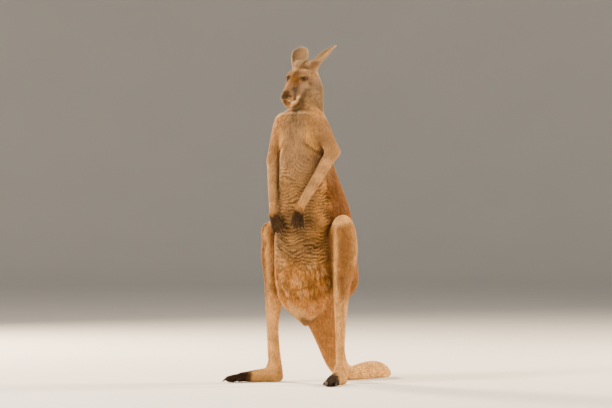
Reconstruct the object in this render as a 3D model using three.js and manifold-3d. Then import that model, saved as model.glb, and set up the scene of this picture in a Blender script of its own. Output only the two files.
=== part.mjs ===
// A red kangaroo at life size, sitting upright on its two long feet and its tail.
//
// Millimetres, +Z up. The animal faces -Y and its left side is +X; the ground is Z = 0 and the origin
// lies under the middle of the body, between the ankles. Every solid is the outline of the coat.
//
// The body is one smooth form: distance functions of muscles, egg-shaped sections and pads, melted
// together where flesh runs on. The form is turned into closed faceted solids on lattices of a few
// sizes, and then parted into head, neck, trunk, limbs and tail by thin cuts.
import * as THREE from 'three';
import { mergeVertices } from 'three/addons/utils/BufferGeometryUtils.js';
import Module from 'manifold-3d';

const wasm = await Module();
wasm.setup();

// ------------------------------------------------------------------ driving dimensions

const gap = 0.3; // thin cut between neighbouring solids
const standPoint = [7.5, -195, 0]; // brings the floor point under the middle of the animal to the origin

// The trunk and neck: egg-shaped sections at a height, with half width, front and back.
const trunk = [
  [246, 4, -14, 2],
  [262, 19, -32, 22],
  [288, 46, -62, 52],
  [314, 78, -92, 94],
  [352, 112, -122, 152],
  [400, 130, -140, 202],
  [443, 137, -149, 230],
  [510, 143, -152, 252],
  [580, 146, -151, 262],
  [650, 146, -150, 264],
  [720, 145, -147, 258],
  [790, 135, -145, 238],
  [860, 121, -145, 204],
  [930, 110, -146, 163],
  [1000, 106, -148, 128],
  [1060, 110, -148, 101],
  [1110, 104, -138, 84],
  [1145, 87, -112, 80],
  [1180, 70, -88, 82],
  [1220, 62, -72, 90],
  [1262, 56, -60, 86],
  [1290, 40, -38, 66],
  [1306, 16, -6, 34],
];
const turn = { angle: degrees(15), from: 560, to: 1060 }; // the chest is turned to its left
const nape = [
  { place: [0, 24, 1190], radius: 58 },
  { place: [0, 24, 1258], radius: 56 },
  { place: [-3, 9, 1320], radius: 47 },
];

// The tail drops behind the trunk and lies back on the ground: places and half thickness.
const tail = [
  [0, 60, 430, 108],
  [0, 108, 330, 90],
  [0, 151, 238, 71],
  [0, 177, 167, 57],
  [0, 209, 93, 45],
  [-1, 240, 57, 39],
  [-2, 276, 38, 34],
  [-3, 330, 29, 31],
  [-6, 380, 32, 34],
  [-9, 430, 35, 38],
  [-13, 500, 37, 39],
  [-18, 560, 31, 33],
  [-23, 605, 21, 22],
  [-27, 636, 12, 11],
];
const tailPieces = 28; // short lengths that the curve is made of
const tailCuts = [
  { point: [0, 105, 315], normal: [0, 0.7, -0.714] },
  { point: [0, 196, 105], normal: [0, 0.48, -0.877] },
  { point: [-7, 395, 30], normal: [-0.03, 1, 0] },
];

const legs = {
  left: { side: 1, hip: [78, 118, 500], knee: [207, -14, 676], ankle: [185, 0, 58], toeOut: degrees(22), bulge: 11 },
  right: { side: -1, hip: [-78, 118, 500], knee: [-197, 8, 652], ankle: [-187, 0, 58], toeOut: degrees(26), bulge: 24 },
};
const arms = {
  left: {
    side: 1, shoulder: [80, -42, 1126], elbow: [142, 3, 994], wrist: [90, -162, 751], tips: [76, -170, 640],
  },
  right: {
    side: -1, shoulder: [-56, -76, 1116], elbow: [-130, -58, 958], wrist: [-38, -178, 729],
    tips: [10, -184, 622],
  },
};

// The head has its own frame: x to its left, u forward along the muzzle, v up, from between the eyes.
const headPitch = degrees(20);
const headTurn = degrees(4);
const eyeLine = [-2, -62, 1307];
const skull = [ // forward, half width, under, over
  [-112, 10, -46, -20],
  [-102, 32, -62, 9],
  [-80, 46, -74, 30],
  [-50, 52, -80, 41],
  [-20, 51, -78, 41],
  [4, 45, -75, 34],
  [28, 37, -73, 21],
  [55, 33, -72, 5],
  [80, 30, -71, -10],
  [100, 26, -69, -22],
  [111, 21, -64, -31],
  [118, 10, -54, -42],
];
const jaw = [
  [-66, 18, -82, -50],
  [-44, 38, -94, -44],
  [-5, 35, -97, -50],
  [35, 27, -96, -54],
  [70, 23, -99, -56],
  [92, 21, -102, -58],
  [106, 17, -99, -60],
  [115, 7, -90, -70],
];
const eye = { centre: [36, 1, 0], radius: 14.5 };
const ear = {
  root: [40, -92, 13],
  length: 140,
  axis: [0.37, 0.57, 0.735], // out, back and up
  opening: [-0.32, -0.6, 0.7],
  thick: 5.5,
  shape: [ // part of the length, half width, radius of the cup
    [-0.1, 22, 24],
    [0.05, 27, 28],
    [0.2, 33, 34],
    [0.42, 36.5, 40],
    [0.62, 36, 42],
    [0.8, 28.5, 39],
    [0.93, 16, 34],
    [1, 4, 30],
  ],
  foot: 0.14, // where the leaf of the ear leaves the stub on the head
};

// Claws: length and half thickness at the root.
const fingerClaw = { length: 19, radius: 3.6 };
const toeClaws = [
  { toe: 'fourth', length: 29, radius: 7 },
  { toe: 'fifth', length: 18, radius: 5 },
  { toe: 'second', length: 11, radius: 2.8, across: 4 },
  { toe: 'third', length: 11, radius: 2.8, across: -4 },
];

const colours = {
  rufous: 0xa8693a, greyBrown: 0x8f7358, belly: 0xb98a5c, cream: 0xd8b88a, dark: 0x33261e, claw: 0x1c1814, eye: 0x120c08,
};

// ------------------------------------------------------------------ small maths

function degrees(angle) {
  return (angle * Math.PI) / 180;
}
const add = (a, b, k = 1) => [a[0] + b[0] * k, a[1] + b[1] * k, a[2] + b[2] * k];
const dot = (a, b) => a[0] * b[0] + a[1] * b[1] + a[2] * b[2];
const size = (a) => Math.hypot(a[0], a[1], a[2]);
const scale = (a, k) => [a[0] * k, a[1] * k, a[2] * k];
const unit = (a) => scale(a, 1 / size(a));
const cross = (a, b) => [a[1] * b[2] - a[2] * b[1], a[2] * b[0] - a[0] * b[2], a[0] * b[1] - a[1] * b[0]];
const clamp = (x, low, high) => Math.min(Math.max(x, low), high);
const up = [0, 0, 1];

function smoothStep(low, high, x) {
  const t = clamp((x - low) / (high - low), 0, 1);
  return t * t * (3 - 2 * t);
}

// The smaller of two distances, with the corner between them rounded over k millimetres.
function melt(a, b, k) {
  const h = Math.max(k - Math.abs(a - b), 0) / k;
  return Math.min(a, b) - (h * h * k) / 4;
}

// A smooth curve through values given at knots: a cubic between each two, with matching slopes.
function curveThrough(rows, column) {
  const x = rows.map((row) => row[0]);
  const y = rows.map((row) => row[column]);
  const last = x.length - 1;
  const slope = x.slice(1).map((_, i) => (y[i + 1] - y[i]) / (x[i + 1] - x[i]));
  const tangent = x.map((_, i) => {
    if (i === 0) return slope[0];
    if (i === last) return slope[last - 1];
    const before = x[i] - x[i - 1];
    const after = x[i + 1] - x[i];
    return (slope[i - 1] * after + slope[i] * before) / (before + after);
  });
  return (q) => {
    const at = clamp(q, x[0], x[last]);
    let i = 0;
    while (i < last - 1 && at > x[i + 1]) i += 1;
    const width = x[i + 1] - x[i];
    const t = (at - x[i]) / width;
    return (
      (2 * t ** 3 - 3 * t ** 2 + 1) * y[i] +
      (t ** 3 - 2 * t ** 2 + t) * width * tangent[i] +
      (3 * t ** 2 - 2 * t ** 3) * y[i + 1] +
      (t ** 3 - t ** 2) * width * tangent[i + 1]
    );
  };
}

// ------------------------------------------------------------------ shapes as distances

// A tapered muscle from a to b: 'swell' fattens its middle, and 'flat' widens it along 'wide'.
function muscle(p, a, b, ra, rb, swell = 0, wide = null, flat = 1) {
  const ab = add(b, a, -1);
  const h = clamp(dot(add(p, a, -1), ab) / dot(ab, ab), 0, 1);
  let q = add(add(p, a, -1), ab, -h);
  if (wide) q = add(q, wide, -dot(q, wide) * (1 - 1 / flat));
  return size(q) - (ra + (rb - ra) * h + swell * 4 * h * (1 - h));
}

function pad(p, centre, radii) {
  const q = add(p, centre, -1);
  const inner = Math.hypot(q[0] / radii[0], q[1] / radii[1], q[2] / radii[2]);
  const slope = Math.hypot(q[0] / radii[0] ** 2, q[1] / radii[1] ** 2, q[2] / radii[2] ** 2);
  return (inner * (inner - 1)) / Math.max(slope, 1e-6);
}

// A form whose egg-shaped sections change along its length; it is closed flat at both ends.
function sectioned(rows) {
  const width = curveThrough(rows, 1);
  const low = curveThrough(rows, 2);
  const high = curveThrough(rows, 3);
  return (along, across, depth) => {
    const s = clamp(along, rows[0][0], rows[rows.length - 1][0]);
    const w = Math.max(width(s), 1);
    const d = Math.max((high(s) - low(s)) / 2, 1);
    const x = across / w;
    const y = (depth - (low(s) + high(s)) / 2) / d;
    const inner = Math.hypot(x, y);
    const flat = (inner * (inner - 1)) / Math.max(Math.hypot(x / w, y / d), 1e-6);
    return along === s ? flat : Math.hypot(Math.max(flat, 0), along - s);
  };
}

// ------------------------------------------------------------------ the animal's form

const trunkColumn = sectioned(trunk);
const skullForm = sectioned(skull);
const jawForm = sectioned(jaw);

function trunkForm(p) {
  const a = turn.angle * smoothStep(turn.from, turn.to, p[2]);
  const x = Math.cos(a) * p[0] + Math.sin(a) * p[1];
  const y = Math.cos(a) * p[1] - Math.sin(a) * p[0];
  let d = trunkColumn(p[2], x, y);
  for (let i = 0; i < nape.length - 1; i += 1) {
    d = melt(d, muscle(p, nape[i].place, nape[i + 1].place, nape[i].radius, nape[i + 1].radius), 20);
  }
  return d;
}

const tailPath = (() => {
  let run = 0;
  const rows = tail.map((row, i) => {
    if (i > 0) run += Math.hypot(...[0, 1, 2].map((k) => row[k] - tail[i - 1][k]));
    return [run, ...row];
  });
  const along = [1, 2, 3, 4].map((column) => curveThrough(rows, column));
  return Array.from({ length: tailPieces }, (_, i) => along.map((curve) => curve((run * i) / (tailPieces - 1))));
})();

function tailForm(p) {
  let d = Infinity;
  for (let i = 0; i < tailPieces - 1; i += 1) {
    const [a, b] = [tailPath[i], tailPath[i + 1]];
    d = melt(d, muscle(p, a.slice(0, 3), b.slice(0, 3), a[3], b[3]), 10);
  }
  return d;
}

const headAxes = (() => {
  const [c, s] = [Math.cos(headPitch), Math.sin(headPitch)];
  const [ct, st] = [Math.cos(headTurn), Math.sin(headTurn)];
  return { side: [ct, st, 0], forward: [st * c, -ct * c, -s], up: [st * s, -ct * s, c] };
})();

function toHead(p) {
  const q = add(p, eyeLine, -1);
  return [dot(q, headAxes.side), dot(q, headAxes.forward), dot(q, headAxes.up)];
}

function fromHead(x, u, v) {
  return add(add(add(eyeLine, headAxes.side, x), headAxes.forward, u), headAxes.up, v);
}

function earFrame(side) {
  const axis = unit([ear.axis[0] * side, ear.axis[1], ear.axis[2]]);
  const facing = [ear.opening[0] * side, ear.opening[1], ear.opening[2]];
  const opening = unit(add(facing, axis, -dot(facing, axis)));
  return { root: fromHead(side * ear.root[0], ear.root[1], ear.root[2]), axis, opening, across: cross(opening, axis) };
}

function earStub(p, side) {
  const { root, axis, opening } = earFrame(side);
  const low = add(add(root, axis, -24), opening, 12);
  const high = add(add(root, axis, 22), opening, 24);
  return muscle(p, low, high, 26, 28);
}

function headForm(p) {
  const [x, u, v] = toHead(p);
  const m = [Math.hypot(x, 2), u, v]; // both sides are alike
  let d = skullForm(u, x, v);
  d = melt(d, jawForm(u, x, v), 18);
  d = melt(d, pad(m, [33, -42, -56], [23, 40, 38]), 20); // cheek muscle
  d = melt(d, muscle(m, [30, 20, 12], [38, -18, 15], 9, 13), 20); // brow
  d = melt(d, muscle(m, [27, 26, -20], [38, -36, -26], 10, 15), 26); // cheekbone
  d = melt(d, pad(m, [13, 90, -58], [16, 28, 20]), 14); // lips
  return melt(d, pad(m, [0, 108, -34], [15, 11, 10]), 9); // nose
}

function legAxes(leg) {
  const forward = [leg.side * Math.sin(leg.toeOut), -Math.cos(leg.toeOut), 0];
  const out = [leg.side * Math.cos(leg.toeOut), Math.sin(leg.toeOut), 0];
  const from = (origin, f, o, z) => add(add(add(origin, forward, f), out, o), up, z);
  return { forward, out, from };
}

function legForm(p, leg) {
  const { out, from } = legAxes(leg);
  const { hip, knee, ankle, side } = leg;
  const calfFoot = from(ankle, -10, -4, 215);
  const bicepsFoot = from([ankle[0], ankle[1], 440], -14, leg.bulge - 3, 0);
  let d = muscle(p, add(hip, up, 10), from(knee, -8, 0, -14), 100, 44, 8, out, 0.8); // thigh
  d = melt(d, muscle(p, add(hip, [side * 14, 36, -60]), from(knee, -54, 0, -150), 72, 40, 8, out, 0.8), 36);
  d = melt(d, muscle(p, add(hip, [side * 10, -30, 70]), from(knee, -8, 0, 4), 70, 41, 4, out, 0.9), 36);
  d = melt(d, muscle(p, from(knee, -22, leg.bulge, -30), bicepsFoot, 41, 17, 24), 26); // biceps of the thigh
  d = melt(d, muscle(p, from(knee, -34, 0, -60), calfFoot, 44, 17, 14, out, 0.88), 24); // calf
  d = melt(d, muscle(p, from(knee, 0, 0, -8), from(ankle, 0, -1, 10), 40, 18, 0, out, 0.95), 22); // shin
  d = melt(d, muscle(p, from(ankle, -8, -4, 215), from(ankle, -33, 0, -12), 15, 19, -3, out, 0.8), 14);
  return melt(d, pad(p, ankle, [26, 27, 30]), 14);
}

function footForm(p, leg) {
  const { out, from } = legAxes(leg);
  const at = (f, o, z) => from([leg.ankle[0], leg.ankle[1], 0], f, o, z);
  let d = muscle(p, at(-30, 0, 24), at(0, 0, 30), 23, 27); // heel
  d = melt(d, muscle(p, at(0, 0, 36), at(140, 2, 23), 30, 21, 0, out, 1.15), 14); // instep
  d = melt(d, muscle(p, at(-28, 0, 15), at(140, 2, 14), 18, 17, 0, out, 1.35), 10); // sole
  d = melt(d, muscle(p, at(140, 3, 19), at(207, 2, 16), 20, 14, 2, out, 1.08), 10); // fourth toe
  d = melt(d, muscle(p, at(130, 19, 15), at(178, 30, 12), 14, 10, 1), 7); // fifth toe
  return melt(d, muscle(p, at(122, -19, 15), at(170, -22, 11), 12, 8), 6); // second and third, joined
}

// Where each toe's claw grows from, and which way.
function toeEnds(leg) {
  const { forward, out, from } = legAxes(leg);
  const at = (f, o, z) => from([leg.ankle[0], leg.ankle[1], 0], f, o, z);
  const aim = (f, o, z) => unit(add(add(scale(forward, f), out, o), up, z));
  return {
    fourth: { place: at(214, 2, 18), aim: aim(1, -0.01, -0.32) },
    fifth: { place: at(183, 31, 13), aim: aim(1, 0.18, -0.34) },
    second: { place: at(174, -22, 12), aim: aim(1, -0.06, -0.34) },
    third: { place: at(174, -22, 12), aim: aim(1, -0.06, -0.34) },
  };
}

// The hand: a palm and five short fingers, hanging in front of the belly.
function handPlan(arm) {
  const along = unit(add(arm.tips, arm.wrist, -1));
  const outward = unit([arm.wrist[0] * 0.4, arm.wrist[1] - 40, 0]);
  const across = unit(cross(outward, along));
  const palm = add(arm.wrist, add(arm.tips, arm.wrist, -1), 0.42);
  const fingers = [-1, -0.5, 0, 0.5, 1].map((f) => {
    const root = add(add(palm, along, 4 - 4 * Math.abs(f)), across, 21 * f);
    const tip = add(add(add(root, along, 32 - 7 * Math.abs(f)), across, 8 * f), outward, -4);
    return { root, tip };
  });
  return { along, outward, across, palm, fingers };
}

const handPlans = { left: handPlan(arms.left), right: handPlan(arms.right) };

function armForm(p, name) {
  const arm = arms[name];
  const { across, palm, fingers } = handPlans[name];
  let d = muscle(p, arm.shoulder, arm.elbow, 46, 30, 3);
  d = melt(d, muscle(p, arm.elbow, arm.wrist, 30, 16.5, 2), 16);
  let hand = muscle(p, arm.wrist, palm, 16, 20, 1, across, 1.4);
  for (const { root, tip } of fingers) hand = melt(hand, muscle(p, root, tip, 8.8, 6.8), 5);
  return melt(d, hand, 12);
}

// ------------------------------------------------------------------ where the body is parted

const overrun = 30; // how far a form runs on past the plane that cuts it
const pastPlane = (p, { point, normal }) => dot(add(p, point, -1), unit(normal));

// Across a bent joint, on the line that halves its angle.
function bend(before, joint, after) {
  return { point: joint, normal: unit(add(unit(add(after, joint, -1)), unit(add(joint, before, -1)))) };
}
const kneeCut = (leg) => bend(leg.hip, leg.knee, leg.ankle);
const elbowCut = (arm) => bend(arm.shoulder, arm.elbow, arm.wrist);
const wristCut = (arm) => ({ point: arm.wrist, normal: add(arm.tips, arm.wrist, -1) });
const earCut = (side) => {
  const { root, axis } = earFrame(side);
  return { point: add(root, axis, ear.foot * ear.length), normal: axis };
};
const cuts = {
  head: { point: [-2, -8, 1268], normal: [0, -0.62, 0.785] },
  neck: { point: [0, 0, 1166], normal: [0, -0.25, 0.97] },
  chest: { point: [0, 0, 872], normal: [0, 0, 1] },
  ankle: { point: [0, 0, 84], normal: [0, 0, 1] },
  knee: { left: kneeCut(legs.left), right: kneeCut(legs.right) },
  elbow: { left: elbowCut(arms.left), right: elbowCut(arms.right) },
  wrist: { left: wristCut(arms.left), right: wristCut(arms.right) },
};

// ------------------------------------------------------------------ the body as one form

// How far the flesh runs over from a limb to the trunk: widely at its root, and hardly further out.
const legMelt = (p, leg) => 6 + 44 * smoothStep(250, 120, size(add(p, leg.hip, -1)));
const armMelt = (p, arm) => 4 + 36 * smoothStep(150, 60, size(add(p, arm.shoulder, -1)));

// Trunk, tail and head, and the limbs as far as the knees and elbows.
function bodyForm(p) {
  let d = melt(trunkForm(p), tailForm(p), 16 + 44 * smoothStep(0, 120, p[1]));
  for (const name of ['left', 'right']) {
    const thigh = Math.max(legForm(p, legs[name]), pastPlane(p, cuts.knee[name]) - overrun);
    const upperArm = Math.max(armForm(p, name), pastPlane(p, cuts.elbow[name]) - overrun);
    d = melt(d, thigh, legMelt(p, legs[name]));
    d = melt(d, upperArm, armMelt(p, arms[name]));
  }
  d = melt(d, headForm(p), 30);
  return melt(melt(d, earStub(p, 1), 20), earStub(p, -1), 20);
}

// ------------------------------------------------------------------ from form to faceted solid

// Surface net: each lattice cell that the surface crosses gets one corner, and each lattice edge that
// it crosses gets a face. The box is given in its own frame of three axes.
function net(form, { origin = [0, 0, 0], axes = [[1, 0, 0], [0, 1, 0], [0, 0, 1]], low, high, cell, slack = 1.5 }) {
  const count = [0, 1, 2].map((i) => Math.ceil((high[i] - low[i]) / cell[i]) + 1);
  const place = (i, j, k) => {
    const local = [low[0] + i * cell[0], low[1] + j * cell[1], low[2] + k * cell[2]];
    return add(add(add(origin, axes[0], local[0]), axes[1], local[1]), axes[2], local[2]);
  };
  const index = (i, j, k) => (i * count[1] + j) * count[2] + k;
  const value = new Float64Array(count[0] * count[1] * count[2]);
  for (let i = 0; i < count[0]; i += 1) {
    for (let j = 0; j < count[1]; j += 1) {
      for (let k = 0; k < count[2]; k += 1) {
        const rim = i === 0 || j === 0 || k === 0 || i === count[0] - 1 || j === count[1] - 1 || k === count[2] - 1;
        const d = form(place(i, j, k));
        value[index(i, j, k)] = rim ? Math.max(d, 0.1) : d;
      }
    }
  }
  const corners = [];
  const cornerOf = new Map();
  const step = [[1, 0, 0], [0, 1, 0], [0, 0, 1]];
  for (let i = 0; i < count[0] - 1; i += 1) {
    for (let j = 0; j < count[1] - 1; j += 1) {
      for (let k = 0; k < count[2] - 1; k += 1) {
        let sum = [0, 0, 0];
        let crossings = 0;
        for (let axis = 0; axis < 3; axis += 1) {
          const [b, c] = [step[(axis + 1) % 3], step[(axis + 2) % 3]];
          for (let m = 0; m < 4; m += 1) {
            const start = add(add([i, j, k], b, m & 1), c, m >> 1);
            const end = add(start, step[axis]);
            const [from, to] = [value[index(...start)], value[index(...end)]];
            if (from < 0 === to < 0) continue;
            sum = add(sum, add(start, step[axis], from / (from - to)));
            crossings += 1;
          }
        }
        if (!crossings) continue;
        cornerOf.set(index(i, j, k), corners.length);
        corners.push(settle(form, place(...scale(sum, 1 / crossings)), Math.min(...cell) * 0.4));
      }
    }
  }
  const faces = [];
  for (const [axis, along] of step.entries()) {
    const [b, c] = [step[(axis + 1) % 3], step[(axis + 2) % 3]];
    for (let i = 0; i < count[0]; i += 1) {
      for (let j = 0; j < count[1]; j += 1) {
        for (let k = 0; k < count[2]; k += 1) {
          const at = [i, j, k];
          if (at[axis] === count[axis] - 1 || dot(at, b) === 0 || dot(at, c) === 0) continue;
          const inside = value[index(i, j, k)] < 0;
          if (inside === value[index(...add(at, along))] < 0) continue;
          const ring = [[-1, -1], [0, -1], [0, 0], [-1, 0]].map(([m, n]) => cornerOf.get(index(...add(add(at, b, m), c, n))));
          if (!inside) ring.reverse();
          faces.push(...quad(corners, ring));
        }
      }
    }
  }
  return solidOf(corners.flat(), thinned(form, corners, faces, slack));
}

// Takes corners out, flattest first, while the faces that close each gap keep within 'slack' of the form.
function thinned(form, corners, faces, slack) {
  const triangles = [];
  const around = corners.map(() => new Set());
  const link = (triangle) => triangle.forEach((corner) => around[corner].add(triangle));
  const unlink = (triangle) => triangle.forEach((corner) => around[corner].delete(triangle));
  for (let i = 0; i < faces.length; i += 3) triangles.push(faces.slice(i, i + 3));
  triangles.forEach(link);
  const ringOf = (corner) => {
    const next = new Map();
    for (const t of around[corner]) {
      const i = t.indexOf(corner);
      next.set(t[(i + 1) % 3], t[(i + 2) % 3]);
    }
    const ring = [...next.keys()].slice(0, 1);
    while (ring.length < next.size) ring.push(next.get(ring.at(-1)));
    return new Set(ring).size === around[corner].size ? ring : [];
  };
  const error = ([a, b, c], facing) => {
    const [p, q, r] = [corners[a], corners[b], corners[c]];
    const sides = [add(q, p, -1), add(r, q, -1), add(p, r, -1)];
    const normal = cross(sides[0], sides[1]);
    const longest = Math.max(...sides.map(size));
    if (size(normal) < 0.2 * longest ** 2 || dot(normal, facing) < 0.5 * size(normal) * size(facing)) return Infinity;
    const probes = [scale(add(add(p, q), r), 1 / 3), scale(add(p, r), 0.5)];
    return Math.max(...probes.map((probe) => Math.abs(form(probe))));
  };
  for (const limit of [0.25 * slack, 0.5 * slack, slack]) {
    for (let corner = 0; corner < corners.length; corner += 1) {
      const ring = ringOf(corner);
      if (ring.length < 4) continue;
      const facing = [...around[corner]].reduce((sum, [a, b, c]) => {
        return add(sum, cross(add(corners[b], corners[a], -1), add(corners[c], corners[a], -1)));
      }, [0, 0, 0]);
      let best = { worst: limit, fan: null };
      ring.forEach((hub, s) => {
        const rest = [...ring.slice(s + 1), ...ring.slice(0, s)];
        const known = new Set([...around[hub]].flat());
        if (rest.slice(1, -1).some((other) => known.has(other))) return;
        const fan = rest.slice(0, -1).map((from, i) => [hub, from, rest[i + 1]]);
        const worst = Math.max(...fan.map((triangle) => error(triangle, facing)));
        if (worst < best.worst) best = { worst, fan };
      });
      if (!best.fan) continue;
      [...around[corner]].forEach(unlink);
      best.fan.forEach(link);
    }
  }
  return [...new Set(around.flatMap((set) => [...set]))].flat();
}

// Two triangles across the shorter diagonal.
function quad(corners, [a, b, c, d]) {
  const ac = size(add(corners[a], corners[c], -1));
  const bd = size(add(corners[b], corners[d], -1));
  return ac < bd ? [a, b, c, a, c, d] : [b, c, d, b, d, a];
}

// Moves a point straight to the surface, by no more than 'reach'.
function settle(form, p, reach) {
  const h = 0.5;
  const d = form(p);
  const slope = [0, 1, 2].map((i) => (form(add(p, scale([i === 0, i === 1, i === 2].map(Number), h))) - d) / h);
  const steep = Math.max(dot(slope, slope), 0.04);
  const move = scale(slope, -d / steep);
  return add(p, move, Math.min(1, reach / Math.max(size(move), 1e-9)));
}

function solidOf(positions, triangles) {
  const mesh = new wasm.Mesh({
    numProp: 3,
    vertProperties: new Float32Array(positions),
    triVerts: new Uint32Array(triangles),
  });
  return new wasm.Manifold(mesh);
}

function solidFrom(geometry) {
  const plain = geometry.index ? geometry.clone() : geometry;
  plain.deleteAttribute('normal');
  plain.deleteAttribute('uv');
  const merged = mergeVertices(plain, 1e-3);
  return solidOf(merged.attributes.position.array, merged.index.array);
}

function geometryOf(solid) {
  const { vertProperties, triVerts } = solid.getMesh();
  const geometry = new THREE.BufferGeometry();
  geometry.setAttribute('position', new THREE.BufferAttribute(vertProperties, 3));
  geometry.setIndex(new THREE.BufferAttribute(triVerts, 1));
  geometry.computeVertexNormals();
  return geometry;
}

// The same solid with every corner moved outward.
function swollen(solid, by) {
  const { attributes, index } = geometryOf(solid);
  return solidOf(attributes.position.array.map((value, i) => value + by * attributes.normal.array[i]), index.array);
}

// Everything past a plane, as one very large block.
function past(point, normal) {
  const reach = 2500;
  const n = new THREE.Vector3(...unit(normal));
  const block = new THREE.BoxGeometry(reach, reach, reach);
  block.translate(0, 0, reach / 2);
  block.applyQuaternion(new THREE.Quaternion().setFromUnitVectors(new THREE.Vector3(0, 0, 1), n));
  block.translate(...point);
  return solidFrom(block);
}

const keepBefore = (solid, { point, normal }) => solid.subtract(past(add(point, unit(normal), -gap / 2), normal));
const keepPast = (solid, { point, normal }) => keepBefore(solid, { point, normal: scale(normal, -1) });
const onGround = (solid) => solid.subtract(past([0, 0, 0], [0, 0, -1]));

// A lattice whose third axis runs from a to b, 'spread' wide on each side.
function latticeAlong(a, b, wide, spread, ends, cell) {
  const along = unit(add(b, a, -1));
  const side = unit(cross(along, wide));
  const axes = [side, cross(along, side), along];
  const length = size(add(b, a, -1));
  return { origin: a, axes, low: [-spread, -spread, -ends[0]], high: [spread, spread, length + ends[1]], cell };
}

// ------------------------------------------------------------------ what belongs to each limb

// A limb owns what is nearer to it than to the trunk, with a free margin round it.
const margin = 22;
const nearer = (limb, core) => Math.max(limb - margin, (limb - core) / 2);

function legRegion(leg) {
  const [low, high] = leg.side > 0 ? [-60, 330] : [-330, 60];
  const box = { low: [low, -150, 30], high: [high, 350, 800], cell: [45, 45, 48], slack: 6 };
  return net((p) => nearer(legForm(p, leg), trunkForm(p)), box);
}

function armRegion(name) {
  const reach = arms[name].elbow[0];
  const box = {
    low: [Math.min(reach, 0) - 90, -290, 510], high: [Math.max(reach, 0) + 90, 110, 1240], cell: [34, 34, 40], slack: 5,
  };
  return net((p) => nearer(armForm(p, name), trunkForm(p)), box);
}

const regions = {
  leg: { left: legRegion(legs.left), right: legRegion(legs.right) },
  arm: { left: armRegion('left'), right: armRegion('right') },
};

// A cut's main body, without the crumbs that thin edges leave.
function mainBody(solid) {
  return solid.decompose().reduce((most, body) => (body.volume() > most.volume() ? body : most));
}

// ------------------------------------------------------------------ the pieces

const pieces = []; // name, solid and colour of each

function piece(name, solid, colour, roughness = 0.9) {
  pieces.push({ name, solid: mainBody(solid), colour, roughness });
}

function addBody() {
  const body = net(bodyForm, { low: [-330, -290, 215], high: [330, 350, 1320], cell: [27, 27, 28], slack: 4.4 });
  let rest = body;
  for (const [name, leg] of Object.entries(legs)) {
    piece(`thigh_${name}`, keepBefore(body.intersect(regions.leg[name]), cuts.knee[name]), colours.rufous);
    rest = rest.subtract(swollen(regions.leg[name], gap));
  }
  for (const [name, arm] of Object.entries(arms)) {
    const { outward } = handPlans[name];
    const upper = net(bodyForm, latticeAlong(arm.shoulder, arm.elbow, outward, 95, [90, 60], [20, 20, 28]));
    const mine = keepBefore(upper.intersect(regions.arm[name]), cuts.elbow[name]);
    piece(`upper_arm_${name}`, mine, colours.greyBrown);
    rest = rest.subtract(swollen(regions.arm[name], gap));
  }
  piece('neck', keepBefore(keepPast(rest, cuts.neck), cuts.head), colours.greyBrown);
  const trunkOnly = keepBefore(rest, cuts.neck);
  piece('chest', keepPast(trunkOnly, cuts.chest), colours.greyBrown);
  piece('belly', keepBefore(keepBefore(trunkOnly, cuts.chest), tailCuts[0]), colours.belly);
}

function addTail() {
  const whole = onGround(net(bodyForm, { low: [-90, 0, -20], high: [90, 680, 350], cell: [26, 38, 26], slack: 2 }));
  const [root, middle, tip] = tailCuts;
  piece('tail_root', keepBefore(keepPast(whole, root), middle), colours.rufous);
  piece('tail_middle', keepBefore(keepPast(whole, middle), tip), colours.cream);
  piece('tail_tip', keepPast(whole, tip), colours.cream);
}

// A claw: a curved cone with its root at 'place', pointing along 'aim' and bending down.
function claw({ place, aim, length, radius, droop, grow = 0 }) {
  const rings = 3;
  const sides = 6;
  const side = unit(cross(aim, up));
  const over = cross(side, aim);
  const corners = [];
  for (let i = 0; i < rings; i += 1) {
    const t = i / rings;
    const middle = add(add(place, aim, t * length - grow * (1 - 2 * t)), over, -droop * t * t * length);
    const r = radius * (1 - t ** 1.4) + grow;
    for (let j = 0; j < sides; j += 1) {
      const a = (2 * Math.PI * j) / sides;
      corners.push(add(add(middle, side, 0.8 * r * Math.cos(a)), over, r * Math.sin(a)));
    }
  }
  const root = corners.push(add(place, aim, -grow)) - 1;
  const tip = corners.push(add(add(place, aim, length + grow), over, -droop * length)) - 1;
  const faces = [];
  for (let j = 0; j < sides; j += 1) {
    const next = (j + 1) % sides;
    faces.push(root, next, j, tip, (rings - 1) * sides + j, (rings - 1) * sides + next);
    for (let i = 0; i < rings - 1; i += 1) {
      const [a, b] = [i * sides + j, i * sides + next];
      faces.push(a, b, b + sides, a, b + sides, a + sides);
    }
  }
  const solid = solidOf(corners.flat(), faces);
  return solid.volume() > 0 ? solid : solidOf(corners.flat(), faces.reverse());
}

// Sets claws into the solid that they grow from, each in a socket with a thin gap.
function withClaws(name, solid, colour, claws) {
  let rest = solid;
  for (const [label, shape] of Object.entries(claws)) {
    rest = rest.subtract(claw({ ...shape, grow: gap }));
    piece(label, claw(shape), colours.claw, 0.4);
  }
  piece(name, rest, colour);
}

const clawRoot = 6; // depth of a claw's root in the toe

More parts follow.
